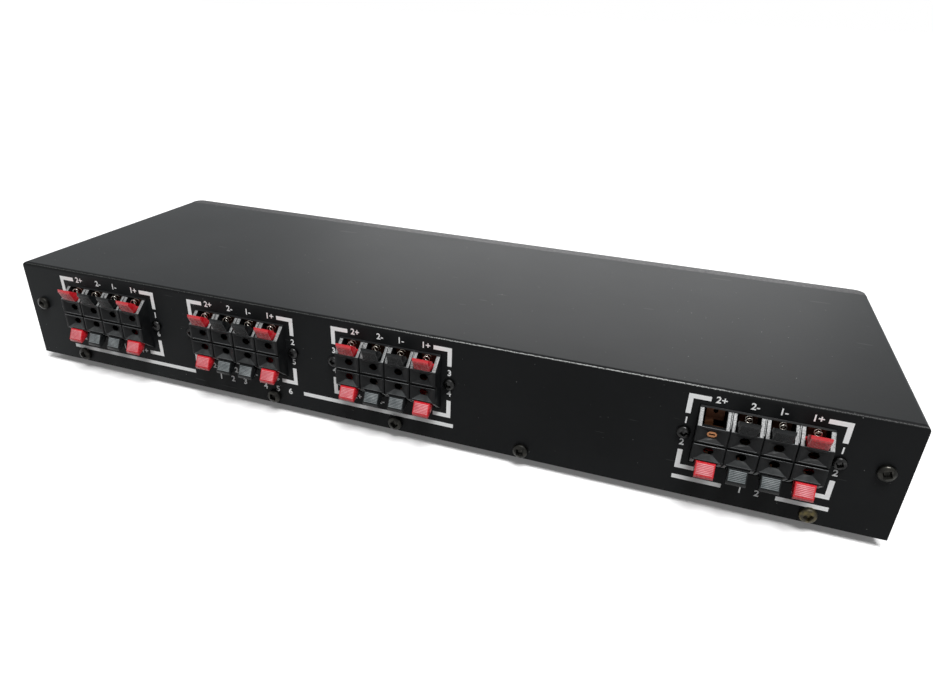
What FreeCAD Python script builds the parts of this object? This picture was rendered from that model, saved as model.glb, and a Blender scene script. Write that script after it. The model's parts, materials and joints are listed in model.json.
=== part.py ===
import FreeCAD, Part
import math
import os

# Speaker selector switch box: a flat sheet steel case with four spring terminal blocks on its
# rear panel and seven push buttons on its front panel.
# Millimetres. +Z is up, the rear panel faces +Y, the front panel faces -Y.
# The origin is at the middle of the whole object, on the surface that it stands on.

# Case
CASE_WIDTH = 430.0
CASE_HEIGHT = 53.4
CASE_DEPTH = 143.9
FOOT_HEIGHT = 5.0
SHEET = 1.0
BEND_RADIUS = 2.0
COVER_GAP = 0.15
COVER_TOP_GAP = 0.6
SIDE_RETURN = 12.0
CORNER_RELIEF = 0.8
LIP_HEIGHT = 9.0
END_FLANGE = 14.0
FLANGE_TOP_GAP = 4.0

# Front panel moulding and its buttons
FASCIA_THICK = 8.0
FASCIA_CORNER = 6.0
FASCIA_EDGE = 1.2
FASCIA_WALL = 2.5
FASCIA_SCREW_INSET_X = 19.0
FASCIA_SCREW_INSET_Z = 10.0
FASCIA_BOSS_RADIUS = 4.0
SPEAKER_COUNT = 6
BUTTON_PITCH = 38.0
BUTTON_END_INSET = 77.0
SELECT_BUTTON_INSET = 75.0
BUTTON_WIDTH = 17.0
BUTTON_HEIGHT = 10.0
BUTTON_BEVEL = 0.6
BUTTON_REACH = 5.0
BUTTON_DEPTH = 9.5
BUTTON_GAP = 0.35
BUTTON_TRAVEL = 3.0
BUTTON_CENTRE_V = 25.0
PLUNGER_SIZE = 4.0
PLUNGER_GAP = 0.2
PLUNGER_BURIED = 8.0
SOCKET_DEPTH = 6.0

# Switch bodies and their board
SWITCH_WIDTH = 16.0
SWITCH_DEPTH = 24.0
SWITCH_HEIGHT = 13.0
SWITCH_FRONT_GAP = 1.0
SWITCH_BORE_DEPTH = 16.0
BOARD_LENGTH = 350.0
BOARD_DEPTH = 62.0
BOARD_THICK = 1.6
BOARD_FRONT_GAP = 3.0
STANDOFF_RADIUS = 3.0
STANDOFF_INSET_X = 12.0
STANDOFF_INSET_Y = 8.0
HEADER_LENGTH = 22.0
HEADER_DEPTH = 6.0
HEADER_HEIGHT = 8.0
HEADER_EDGE_GAP = 4.0
HEADER_END_INSET = 38.5

# Terminal blocks: four alike, two rows of four cells
CELL_PITCH = 12.43
CELL_COUNT = 4
BLOCK_END_INSET = 54.4
BLOCK_SHARES = {"1_6": 1.0, "2_5": 0.5, "3_4": 0.0, "input": -1.0}
BLOCK_CENTRE_V = 31.3
FACE_REACH = 6.8
FACE_HALF = 8.0
BODY_HALF = 13.9
BODY_DEPTH = 10.0
ROW_SLOT = 1.0
CELL_GROOVE = 0.6
GROOVE_DEPTH = 1.5
FRONT_WALL = 2.1
BAY_HALF = 4.45
BAY_INNER = 0.9
BAY_OUTER = 13.3
FUNNEL_HALF_WIDTH = 5.0
FUNNEL_LOW = 0.95
FUNNEL_HIGH = 7.4
FUNNEL_DEPTH = 1.7
HOLE_HEIGHT_AT = 3.8
HOLE_LONG = 3.8
HOLE_SHORT = 2.9
HOLE_CORNER = 0.9
CUTOUT_GAP = 0.25
EAR_LENGTH = 8.0
EAR_THICK = 2.5
EAR_HALF = 9.0
BACK_THICK = 1.5
TERMINAL_SCREW_HALF = 29.15

# Lever of a terminal: side outline as (height from the row split, reach from the rear panel)
PIVOT_HEIGHT = 9.3
PIVOT_REACH = 3.2
PIN_RADIUS = 0.65
PIN_GAP = 0.05
PIN_LENGTH = 0.9
PIN_SIDES = 6
LEVER_TRAVEL = 20.0
LEVER_BASE = (8.35, 7.1)
LEVER_GRIP_END = (13.4, 9.5)
LEVER_TIP = (14.8, 9.2)
LEVER_BACK = (12.7, 5.4)
LEVER_HEEL = (9.95, 3.9)
LEVER_FRONT_HALF = 3.75
LEVER_BACK_HALF = 4.3
LEVER_TAPER_DEPTH = 5.6
BOSS_RADIUS = 1.1
BOSS_FLAT = 0.55
ARM_NECK_NEAR = -0.8
ARM_NECK_FAR = -4.0
ARM_PLATE_FAR = 3.2
ARM_KNEE = (6.4, 0.7)
ARM_FOOT = (2.6, 0.6)
ARM_THICK = 1.4
ARM_SLOT_LOW = 3.9
ARM_SLOT_HIGH = 5.9
ARM_SLOT_HALF = 1.9

# Contact strip of a terminal, bent from one piece of copper
STRIP_THICK = 0.4
STRIP_HALF = 3.5
STRIP_FLOOR = 1.0
STRIP_FRONT_GAP = 0.1
SHELF_FRONT = 7.65
SHELF_BACK = 8.2
SEAT_REACH = -1.2
SEAT_TOP = 12.9
SEAT_HOLE_RADIUS = 1.0
SEAT_HOLE_SIDES = 12
WIRE_SLOT_LONG = 4.6
WIRE_SLOT_SHORT = 3.6
RELAXED_SLOT_LONG = 2.4
RELAXED_SLOT_SHORT = 0.7
SHELF_OPEN_TO = 0.35
TAG_REACH = 16.0
TAG_GAP = 0.2

# Return spring of a lever
SPRING_HEIGHT_AT = 11.52
SPRING_RADIUS = 1.34
SPRING_WIRE = 0.4
SPRING_TURNS = 2.0
SPRING_END_GAP = 0.1
COILED_BLOCKS = ["3_4", "input"]

# Screws and feet; what repeats most is drawn with few sides
HEAD_SIDES = 10
INNER_HEAD_SIDES = 6
SHANK_SIDES = 6
FOOT_SIDES = 12
HEAD_RIM = 0.5
HEAD_CROWN = 0.64
TERMINAL_HEAD_RADIUS = 2.8
TERMINAL_HEAD_HEIGHT = 2.0
TERMINAL_SHANK_RADIUS = 1.5
TERMINAL_SHANK_LENGTH = 7.0
COVER_HEAD_RADIUS = 3.55
COVER_HEAD_HEIGHT = 2.4
COVER_SHANK_RADIUS = 1.75
COVER_SHANK_LENGTH = 6.5
SCREW_CLEARANCE = 0.2
THREAD_GAP = 0.03
LIP_SCREW_SHARES = [0.86, 0.299, -0.011, -0.299, -0.86]
LIP_SCREW_V = 4.3
END_SCREW_INSET = 8.9
END_SCREW_V = 31.2
FOOT_RADIUS = 9.0
FOOT_BOTTOM_RADIUS = 8.0
FOOT_INSET_X = 30.0
FOOT_INSET_Y = 24.0
BOARD_SCREW_LENGTH = 6.0
BOARD_HEAD_RADIUS = 2.6
BOARD_HEAD_HEIGHT = 1.8
BOARD_SHANK_RADIUS = 1.25

# Flat wire looms from the terminal blocks to the board
LOOM_WIDTH = 12.0
LOOM_THICK = 1.6
LOOM_BEND = 9.0

# Places that follow from the sizes above
LEVER_REACH = LEVER_GRIP_END[1]
REAR_Y = (CASE_DEPTH + BUTTON_REACH - LEVER_REACH) / 2.0
FRONT_Y = REAR_Y - CASE_DEPTH
FASCIA_BACK_Y = FRONT_Y + FASCIA_THICK
CASE_BASE_Z = FOOT_HEIGHT
CASE_TOP_Z = CASE_BASE_Z + CASE_HEIGHT
HALF_WIDTH = CASE_WIDTH / 2.0
PANEL_BACK_Y = REAR_Y - SHEET
TRAY_HALF = HALF_WIDTH - SHEET - COVER_GAP
TRAY_REAR_Y = PANEL_BACK_Y - COVER_GAP
TRAY_FLOOR_Z = CASE_BASE_Z + SHEET
TRAY_TOP_Z = CASE_TOP_Z - SHEET - COVER_TOP_GAP
BLOCK_Z = CASE_BASE_Z + BLOCK_CENTRE_V
BLOCK_HALF = CELL_PITCH * CELL_COUNT / 2.0
STANDOFF_HEIGHT = (
    BUTTON_CENTRE_V - SWITCH_HEIGHT / 2.0 - BOARD_THICK - SHEET
)
BOARD_Z = TRAY_FLOOR_Z + STANDOFF_HEIGHT
BOARD_FRONT_Y = FASCIA_BACK_Y + SHEET + BOARD_FRONT_GAP
BUTTON_Z = CASE_BASE_Z + BUTTON_CENTRE_V
SWITCH_FRONT_Y = FASCIA_BACK_Y + SHEET + SWITCH_FRONT_GAP

ROWS = {"top": 1, "bottom": -1}
ROW_NAMES = {
    "1_6": {"top": "speaker_1", "bottom": "speaker_6"},
    "2_5": {"top": "speaker_2", "bottom": "speaker_5"},
    "3_4": {"top": "speaker_3", "bottom": "speaker_4"},
    "input": {"top": "input_a", "bottom": "input_b"},
}
# Cells of a block in the order of rising X
CELL_NAMES = ["left_plus", "left_minus", "right_minus", "right_plus"]
MISSING_LEVER = ("input", "top", "right_plus")

# Lengths nearer than this are the same
SAME = 1e-4

UP = FreeCAD.Vector(0, 0, 1)
BACKWARD = FreeCAD.Vector(0, -1, 0)
ACROSS = FreeCAD.Vector(1, 0, 0)
OUTWARD = FreeCAD.Vector(0, 1, 0)


def vector(x, y, z):
    """Return a vector in the object's frame."""
    return FreeCAD.Vector(x, y, z)


def block(x0, x1, y0, y1, z0, z1):
    """Return a box between two corners."""
    corner = vector(min(x0, x1), min(y0, y1), min(z0, z1))
    return Part.makeBox(abs(x1 - x0), abs(y1 - y0), abs(z1 - z0), corner)


def flat_sided(rings):
    """Return a solid with flat faces through rings of points, closed at the first and last."""
    faces = [Part.Face(Part.makePolygon(ring + ring[:1])) for ring in (rings[0], rings[-1])]
    for low, high in zip(rings, rings[1:]):
        for here in range(len(low)):
            after = (here + 1) % len(low)
            side = [low[here], low[after], high[after], high[here], low[here]]
            faces.append(Part.Face(Part.makePolygon(side)))
    solid = Part.makeSolid(Part.makeShell(faces))
    if solid.Volume < 0.0:
        solid.reverse()
    return solid


def ring_at(radius, sides, height):
    """Return the corners of a regular outline around the Z axis at a height."""
    turn = 2.0 * math.pi / sides
    return [vector(radius * math.cos(turn * (step + 0.5)), radius * math.sin(turn * (step + 0.5)),
                   height) for step in range(sides)]


def prism(radius, sides, length, start, direction):
    """Return a bar with a regular outline that starts at a point and runs along a direction."""
    bar = flat_sided([ring_at(radius, sides, 0.0), ring_at(radius, sides, length)])
    bar.Placement = FreeCAD.Placement(start, FreeCAD.Rotation(UP, direction))
    return bar


def screw_hole(radius, length, start, direction):
    """Return the bar to cut for a screw: its shank's outline with the radius as its clearance."""
    return prism(radius, SHANK_SIDES, length, start, direction)


def side_plate(outline, x0, x1):
    """Return a plate with a side outline of (height, reach) points, from x0 to x1."""
    points = [vector(x0, reach, height) for height, reach in outline]
    face = Part.Face(Part.makePolygon(points + points[:1]))
    return face.extrude(vector(x1 - x0, 0, 0))


def oblong(long_side, short_side, y0, y1, height, corner):
    """Return a bar along Y with cut corners, its long side along X, centred on x = 0."""
    x = long_side / 2.0
    z = short_side / 2.0
    outline = [(-x, -z + corner), (-x + corner, -z), (x - corner, -z), (x, -z + corner),
               (x, z - corner), (x - corner, z), (-x + corner, z), (-x, z - corner)]
    ring = [vector(px, y0, height + pz) for px, pz in outline]
    return Part.Face(Part.makePolygon(ring + ring[:1])).extrude(vector(0, y1 - y0, 0))


def pan_screw(head_radius, head_height, shank_radius, shank_length, seat, outward, sides):
    """Return a pan head screw whose head seats at a point and looks outward."""
    rings = [ring_at(head_radius, sides, 0.0)]
    if sides == HEAD_SIDES:
        rings.append(ring_at(head_radius, sides, head_height * HEAD_RIM))
        rings.append(ring_at(head_radius * HEAD_CROWN, sides, head_height))
    else:
        rings.append(ring_at(head_radius, sides, head_height))
    head = flat_sided(rings)
    shank = prism(shank_radius, SHANK_SIDES, shank_length, vector(0, 0, -shank_length), UP)
    screw = head.fuse(shank)
    screw.Placement = FreeCAD.Placement(seat, FreeCAD.Rotation(UP, outward))
    return screw


def block_x(name):
    """Return the X of a terminal block's centre."""
    return (HALF_WIDTH - BLOCK_END_INSET) * BLOCK_SHARES[name]


def cell_x(index):
    """Return a cell's X from its block's centre."""
    return CELL_PITCH * (index - (CELL_COUNT - 1) / 2.0)


def place_in_block(shape, name, row, index):
    """Return a copy of a top row piece, turned over for the bottom row and set in its cell."""
    copy = shape.copy()
    if row == "bottom":
        copy.rotate(vector(0, 0, 0), OUTWARD, 180)
    copy.translate(vector(block_x(name) + cell_x(index), REAR_Y, BLOCK_Z))
    return copy


def terminals():
    """Yield each terminal's block, row and cell index."""
    for name in BLOCK_SHARES:
        for row in ROWS:
            for index in range(CELL_COUNT):
                yield name, row, index


def has_lever(name, row, index):
    """Return whether a terminal still has its lever and spring."""
    return (name, row, CELL_NAMES[index]) != MISSING_LEVER


def funnel():
    """Return the wire funnel of a top row cell: a pyramid that narrows to the wire hole."""
    half_long = HOLE_LONG / 2.0
    half_short = HOLE_SHORT / 2.0
    mouth = [
        vector(-FUNNEL_HALF_WIDTH, FACE_REACH, FUNNEL_LOW),
        vector(FUNNEL_HALF_WIDTH, FACE_REACH, FUNNEL_LOW),
        vector(FUNNEL_HALF_WIDTH, FACE_REACH, FUNNEL_HIGH),
        vector(-FUNNEL_HALF_WIDTH, FACE_REACH, FUNNEL_HIGH),
    ]
    depth = FACE_REACH - FUNNEL_DEPTH
    throat = [
        vector(-half_long, depth, HOLE_HEIGHT_AT - half_short),
        vector(half_long, depth, HOLE_HEIGHT_AT - half_short),
        vector(half_long, depth, HOLE_HEIGHT_AT + half_short),
        vector(-half_long, depth, HOLE_HEIGHT_AT + half_short),
    ]
    cone = flat_sided([mouth, throat])
    hole = oblong(HOLE_LONG, HOLE_SHORT, FACE_REACH - FRONT_WALL, depth, HOLE_HEIGHT_AT,
                  HOLE_CORNER)
    return cone.fuse(hole)


def cell_hollow():
    """Return all that is cut from the housing for one top row cell."""
    wall_back = FACE_REACH - FRONT_WALL
    chamber = block(-BAY_HALF, BAY_HALF, -BODY_DEPTH, wall_back, BAY_INNER, BAY_OUTER)
    bay = block(-BAY_HALF, BAY_HALF, wall_back, FACE_REACH, FACE_HALF, BAY_OUTER)
    socket_reach = BAY_HALF + PIN_LENGTH
    half = PIN_RADIUS + PIN_GAP
    sockets = block(-socket_reach, socket_reach, PIVOT_REACH - half, PIVOT_REACH + half,
                    PIVOT_HEIGHT - half, PIVOT_HEIGHT + half)
    return chamber.fuse([bay, sockets, funnel()])


def terminal_block(name):
    """Return a block's front moulding: funnels, lever bays between walls, and screw ears."""
    outline = [
        (-BODY_HALF, -BODY_DEPTH),
        (BODY_HALF, -BODY_DEPTH),
        (BODY_HALF, 0.0),
        (FACE_HALF, FACE_REACH),
        (-FACE_HALF, FACE_REACH),
        (-BODY_HALF, 0.0),
    ]
    body = side_plate(outline, -BLOCK_HALF, BLOCK_HALF)
    ear_end = BLOCK_HALF + EAR_LENGTH
    ears = block(-ear_end, ear_end, -SHEET - EAR_THICK, -SHEET, -EAR_HALF, EAR_HALF)
    body = body.fuse(ears)
    cuts = []
    split = block(-BLOCK_HALF, BLOCK_HALF, FACE_REACH - GROOVE_DEPTH, FACE_REACH,
                  -ROW_SLOT / 2.0, ROW_SLOT / 2.0)
    cuts.append(split)
    groove_line = [
        (BODY_HALF, 0.0),
        (FACE_HALF, FACE_REACH),
        (-FACE_HALF, FACE_REACH),
        (-BODY_HALF, 0.0),
        (-FACE_HALF, FACE_REACH - GROOVE_DEPTH),
        (FACE_HALF, FACE_REACH - GROOVE_DEPTH),
    ]
    for step in range(1, CELL_COUNT):
        x = cell_x(step) - CELL_PITCH / 2.0
        cuts.append(side_plate(groove_line, x - CELL_GROOVE / 2.0, x + CELL_GROOVE / 2.0))
    for index in range(CELL_COUNT):
        hollow = cell_hollow()
        hollow.translate(vector(cell_x(index), 0, 0))
        turned = hollow.copy()
        turned.rotate(vector(0, 0, 0), OUTWARD, 180)
        cuts += [hollow, turned]
    for side in (-1, 1):
        start = vector(side * TERMINAL_SCREW_HALF, 0, 0)
        cuts.append(screw_hole(TERMINAL_SHANK_RADIUS + THREAD_GAP, SHEET + EAR_THICK, start,
                               BACKWARD))
    body = body.cut(cuts)
    body.translate(vector(block_x(name), REAR_Y, BLOCK_Z))
    return body


def terminal_back(name):
    """Return the plate that closes a block's back, with a slot for each pair of solder tags."""
    plate = block(-BLOCK_HALF, BLOCK_HALF, -BODY_DEPTH - BACK_THICK, -BODY_DEPTH,
                  -BODY_HALF, BODY_HALF)
    half = STRIP_HALF + TAG_GAP
    high = STRIP_FLOOR + STRIP_THICK + TAG_GAP
    slots = []
    for index in range(CELL_COUNT):
        x = cell_x(index)
        slots.append(block(x - half, x + half, -BODY_DEPTH - BACK_THICK, -BODY_DEPTH, -high, high))
    plate = plate.cut(slots)
    plate.translate(vector(block_x(name), REAR_Y, BLOCK_Z))
    return plate


def contact_strip(slot_long, slot_short, open_seat):
    """Return a top row contact: solder tag, floor, slotted plate, shelf and spring seat.

    The hole in the spring's seat is left out where a spring covers it.
    """
    front = FACE_REACH - FRONT_WALL - STRIP_FRONT_GAP
    floor = STRIP_FLOOR
    thick = STRIP_THICK
    outline = [
        (floor, -TAG_REACH),
        (floor, front),
        (SHELF_FRONT, front),
        (SHELF_BACK, SEAT_REACH),
        (SEAT_TOP, SEAT_REACH),
        (SEAT_TOP, SEAT_REACH - thick),
        (SHELF_BACK - thick, SEAT_REACH - thick),
        (SHELF_FRONT - thick, front - thick),
        (floor + thick, front - thick),
        (floor + thick, -TAG_REACH),
    ]
    strip = side_plate(outline, -STRIP_HALF, STRIP_HALF)
    wire_slot = block(-slot_long / 2.0, slot_long / 2.0, front - 2.0 * thick, front + thick,
                      HOLE_HEIGHT_AT - slot_short / 2.0, HOLE_HEIGHT_AT + slot_short / 2.0)
    arm_gap = block(-STRIP_HALF, SHELF_OPEN_TO, SEAT_REACH + thick, front - 2.0 * thick,
                    SHELF_FRONT - 2.0 * thick, SHELF_BACK + thick)
    cuts = [wire_slot, arm_gap]
    if open_seat:
        seat_start = vector(0, SEAT_REACH + thick, SPRING_HEIGHT_AT)
        cuts.append(prism(SEAT_HOLE_RADIUS, SEAT_HOLE_SIDES, 3.0 * thick, seat_start, BACKWARD))
    return strip.cut(cuts)


def contact_strips():
    """Return every contact, as a group of separate solids."""
    loaded = contact_strip(WIRE_SLOT_LONG, WIRE_SLOT_SHORT, False)
    relaxed = contact_strip(RELAXED_SLOT_LONG, RELAXED_SLOT_SHORT, True)
    solids = []
    for name, row, index in terminals():
        strip = loaded if has_lever(name, row, index) else relaxed
        solids.append(place_in_block(strip, name, row, index))
    return Part.makeCompound(solids)


def lever_tab():
    """Return the finger tab: a wedge on a blunt heel, narrower at its grip than at its back."""
    outline = [
        LEVER_BASE,
        LEVER_GRIP_END,
        LEVER_TIP,
        LEVER_BACK,
        LEVER_HEEL,
        (PIVOT_HEIGHT + BOSS_FLAT, PIVOT_REACH - BOSS_RADIUS),
        (PIVOT_HEIGHT - BOSS_FLAT, PIVOT_REACH - BOSS_RADIUS),
        (PIVOT_HEIGHT - BOSS_RADIUS, PIVOT_REACH - BOSS_FLAT),
    ]
    wedge = side_plate(outline, -LEVER_BACK_HALF, LEVER_BACK_HALF)
    rise = LEVER_GRIP_END[0] - LEVER_BASE[0]
    reach = LEVER_GRIP_END[1] - LEVER_BASE[1]
    length = math.hypot(rise, reach)
    along = vector(0, reach / length, rise / length)
    inward = vector(0, -rise / length, reach / length)
    base = vector(0, LEVER_BASE[1], LEVER_BASE[0]) - along * (2.0 * length)
    cuts = []
    for side in (-1, 1):
        front = base + vector(side * LEVER_FRONT_HALF, 0, 0) - inward * LEVER_TAPER_DEPTH
        back = base + vector(side * LEVER_BACK_HALF, 0, 0) + inward * LEVER_TAPER_DEPTH
        front += vector(side * (LEVER_FRONT_HALF - LEVER_BACK_HALF), 0, 0)
        outside = vector(side * LEVER_BACK_HALF, 0, 0)
        ring = [front, back, back + outside, front + outside, front]
        cuts.append(Part.Face(Part.makePolygon(ring)).extrude(along * (4.0 * length)))
    return wedge.cut(cuts)


def lever():
    """Return a top row lever in one piece: tab, pivot pins and clamping arm."""
    pin_reach = BAY_HALF + PIN_LENGTH - PIN_GAP
    pins = prism(PIN_RADIUS, PIN_SIDES, 2.0 * pin_reach,
                 vector(-pin_reach, PIVOT_REACH, PIVOT_HEIGHT), ACROSS)
    neck_line = [
        (PIVOT_HEIGHT - BOSS_RADIUS * 0.5, PIVOT_REACH + BOSS_RADIUS * 0.5),
        ARM_KNEE,
        (ARM_KNEE[0], ARM_KNEE[1] - ARM_THICK),
        (PIVOT_HEIGHT - BOSS_RADIUS * 0.4, PIVOT_REACH - BOSS_RADIUS * 0.8),
    ]
    neck = side_plate(neck_line, ARM_NECK_FAR, ARM_NECK_NEAR)
    plate_line = [
        ARM_KNEE,
        ARM_FOOT,
        (ARM_FOOT[0], ARM_FOOT[1] - ARM_THICK),
        (ARM_KNEE[0], ARM_KNEE[1] - ARM_THICK),
    ]
    plate = side_plate(plate_line, ARM_NECK_FAR, ARM_PLATE_FAR)
    slot = block(-ARM_SLOT_HALF, ARM_SLOT_HALF, ARM_FOOT[1] - 2.0 * ARM_THICK,
                 ARM_KNEE[1] + ARM_THICK, ARM_SLOT_LOW, ARM_SLOT_HIGH)
    return lever_tab().fuse([pins, neck, plate]).cut(slot).removeSplitter()


def spring_ends():
    """Return the reaches at which a return spring starts and ends."""
    lowest = SPRING_HEIGHT_AT - SPRING_RADIUS - SPRING_WIRE / 2.0
    slope = (LEVER_BACK[1] - LEVER_HEEL[1]) / (LEVER_BACK[0] - LEVER_HEEL[0])
    stop = LEVER_HEEL[1] + (lowest - LEVER_HEEL[0]) * slope
    return SEAT_REACH + SPRING_END_GAP, stop - SPRING_END_GAP


def return_spring():
    """Return a top row spring: one unbroken helix of half turn biarcs, its axis outward."""
    start, stop = spring_ends()
    start += SPRING_WIRE / 2.0
    stop -= SPRING_WIRE / 2.0
    halves = int(round(SPRING_TURNS * 2.0))
    edges = []

    def helix_point(turn):
        angle = 2.0 * math.pi * turn
        along = start + (stop - start) * turn / SPRING_TURNS
        return vector(SPRING_RADIUS * math.sin(angle), along,
                      SPRING_HEIGHT_AT + SPRING_RADIUS * math.cos(angle))

    for half in range(2 * halves):
        first = half / 4.0
        edges.append(Part.Arc(helix_point(first), helix_point(first + 0.125),
                              helix_point(first + 0.25)).toShape())
    path = Part.Wire(edges)
    tangent = edges[0].tangentAt(edges[0].FirstParameter)
    radial = UP
    flank = tangent.cross(radial)
    flank.normalize()
    centre = helix_point(0)
    side = SPRING_WIRE / 2.0
    corners = [centre + radial * side, centre - radial * side + flank * side,
               centre - radial * side - flank * side]
    section = Part.makePolygon(corners + corners[:1])
    return path.makePipeShell([section], True, False)


def plain_spring():
    """Return a spring that shows little, or not at all, as a plain bar of its outer size."""
    start, stop = spring_ends()
    return prism(SPRING_RADIUS + SPRING_WIRE / 2.0, SHANK_SIDES, stop - start,
                 vector(0, start, SPRING_HEIGHT_AT), OUTWARD)


def spring_gap():
    """Return the least gap between neighbouring turns of a spring, measured on points."""
    start, stop = spring_ends()
    pitch = (stop - start - SPRING_WIRE) / SPRING_TURNS
    samples = 48
    least = pitch
    for step in range(samples // 2, 2 * samples):
        turn = step / samples
        flat = 2.0 * SPRING_RADIUS * abs(math.sin(math.pi * turn))
        least = min(least, math.hypot(flat, pitch * turn))
    return least - SPRING_WIRE


def lever_springs():
    """Return the return springs of all levers, as a group of separate solids."""
    coil = return_spring()
    plain = plain_spring()
    solids = []
    for name, row, index in terminals():
        if has_lever(name, row, index):
            spring = coil if row == "top" and name in COILED_BLOCKS else plain
            solids.append(place_in_block(spring, name, row, index))
    return Part.makeCompound(solids)


def top_cover():
    """Return the cover: top, rear panel and short side returns bent from one sheet."""
    outer = block(-HALF_WIDTH, HALF_WIDTH, FASCIA_BACK_Y, REAR_Y, CASE_BASE_Z, CASE_TOP_Z)
    inner = block(-HALF_WIDTH + SHEET, HALF_WIDTH - SHEET, FASCIA_BACK_Y - SHEET, PANEL_BACK_Y,
                  CASE_BASE_Z - SHEET, CASE_TOP_Z - SHEET)
    bends = []
    for shape, radius in ((outer, BEND_RADIUS), (inner, BEND_RADIUS - SHEET)):
        top = shape.BoundBox.ZMax
        rear = shape.BoundBox.YMax
        edges = []
        for edge in shape.Edges:
            box = edge.BoundBox
            on_top = abs(box.ZMin - top) < SAME and abs(box.ZMax - top) < SAME
            along_y = box.YLength > BEND_RADIUS
            at_rear = abs(box.YMin - rear) < SAME
            if on_top and (along_y or at_rear):
                edges.append(edge)
        bends.append(shape.makeFillet(radius, edges))
    shell = bends[0].cut(bends[1])
    below_returns = block(-HALF_WIDTH - SHEET, HALF_WIDTH + SHEET, FASCIA_BACK_Y - SHEET,
                          PANEL_BACK_Y, CASE_BASE_Z - SHEET, CASE_TOP_Z - SIDE_RETURN)
    cuts = [below_returns]
    for side in (-1, 1):
        cuts.append(block(side * (HALF_WIDTH - SHEET), side * (HALF_WIDTH + SHEET),
                          PANEL_BACK_Y - CORNER_RELIEF, PANEL_BACK_Y,
                          CASE_TOP_Z - SIDE_RETURN - SHEET, CASE_TOP_Z - BEND_RADIUS))
    for name in BLOCK_SHARES:
        x = block_x(name)
        half_x = BLOCK_HALF + CUTOUT_GAP
        half_z = BODY_HALF + CUTOUT_GAP
        cuts.append(block(x - half_x, x + half_x, PANEL_BACK_Y - SHEET, REAR_Y + SHEET,
                          BLOCK_Z - half_z, BLOCK_Z + half_z))
        for side in (-1, 1):
            start = vector(x + side * TERMINAL_SCREW_HALF, REAR_Y + SHEET, BLOCK_Z)
            cuts.append(screw_hole(TERMINAL_SHANK_RADIUS + SCREW_CLEARANCE, 3.0 * SHEET, start,
                                   BACKWARD))
    for x, z in cover_screw_places():
        start = vector(x, REAR_Y + SHEET, z)
        cuts.append(screw_hole(COVER_SHANK_RADIUS + SCREW_CLEARANCE, 3.0 * SHEET, start, BACKWARD))
    return shell.cut(cuts)


def cover_screw_places():
    """Return the X and Z of each screw that holds the rear panel to the base tray."""
    places = [(share * HALF_WIDTH, CASE_BASE_Z + LIP_SCREW_V) for share in LIP_SCREW_SHARES]
    for side in (-1, 1):
        places.append((side * (HALF_WIDTH - END_SCREW_INSET), CASE_BASE_Z + END_SCREW_V))
    return places


def button_places():
    """Return each push button's name and X."""
    places = {"select": SELECT_BUTTON_INSET - HALF_WIDTH}
    first = HALF_WIDTH - BUTTON_END_INSET - BUTTON_PITCH * (SPEAKER_COUNT - 1)
    for number in range(SPEAKER_COUNT):
        places["speaker_%d" % (number + 1)] = first + BUTTON_PITCH * number
    return places


def foot_places():
    """Return the X and Y of each foot."""
    front = FASCIA_BACK_Y + FOOT_INSET_Y
    rear = REAR_Y - FOOT_INSET_Y
    reach = HALF_WIDTH - FOOT_INSET_X
    return [(x, y) for x in (-reach, reach) for y in (front, rear)]


def standoff_places():
    """Return the X and Y of each board standoff."""
    half = BOARD_LENGTH / 2.0 - STANDOFF_INSET_X
    front = BOARD_FRONT_Y + BOARD_DEPTH / 2.0
    rear = BOARD_FRONT_Y + BOARD_DEPTH - STANDOFF_INSET_Y
    return [(x, y) for x in (-half, half) for y in (front, rear)]


def fascia_screw_places():
    """Return the X and Z of each screw that holds the front panel to the tray."""
    reach = HALF_WIDTH - FASCIA_SCREW_INSET_X
    low = CASE_BASE_Z + FASCIA_SCREW_INSET_Z
    high = CASE_TOP_Z - FASCIA_SCREW_INSET_Z
    return [(x, z) for x in (-reach, reach) for z in (low, high)]


def base_tray():
    """Return the base tray: floor, sides, front wall, rear lip and end flanges."""
    outer = block(-TRAY_HALF, TRAY_HALF, FASCIA_BACK_Y, TRAY_REAR_Y, CASE_BASE_Z, TRAY_TOP_Z)
    inner = block(-TRAY_HALF + SHEET, TRAY_HALF - SHEET, FASCIA_BACK_Y + SHEET,
                  TRAY_REAR_Y - SHEET, TRAY_FLOOR_Z, TRAY_TOP_Z + SHEET)
    tray = outer.cut(inner)
    flange_in = TRAY_HALF - END_FLANGE
    cuts = [block(-flange_in, flange_in, TRAY_REAR_Y - 2.0 * SHEET, TRAY_REAR_Y + SHEET,
                  CASE_BASE_Z + LIP_HEIGHT, TRAY_TOP_Z + SHEET)]
    for side in (-1, 1):
        cuts.append(block(side * flange_in, side * (TRAY_HALF - SHEET), TRAY_REAR_Y - SHEET,
                          TRAY_REAR_Y, TRAY_TOP_Z - FLANGE_TOP_GAP, TRAY_TOP_Z))
    for x, z in cover_screw_places():
        start = vector(x, TRAY_REAR_Y + SHEET, z)
        cuts.append(screw_hole(COVER_SHANK_RADIUS + THREAD_GAP, 3.0 * SHEET, start, BACKWARD))
    for x in button_places().values():
        half_x = PLUNGER_SIZE / 2.0 + SHEET
        cuts.append(block(x - half_x, x + half_x, FASCIA_BACK_Y - SHEET, FASCIA_BACK_Y + 2.0 * SHEET,
                          BUTTON_Z - half_x, BUTTON_Z + half_x))
    for x, z in fascia_screw_places():
        start = vector(x, FASCIA_BACK_Y + 2.0 * SHEET, z)
        cuts.append(screw_hole(BOARD_SHANK_RADIUS + SCREW_CLEARANCE, 4.0 * SHEET, start, BACKWARD))
    return tray.cut(cuts)


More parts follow.
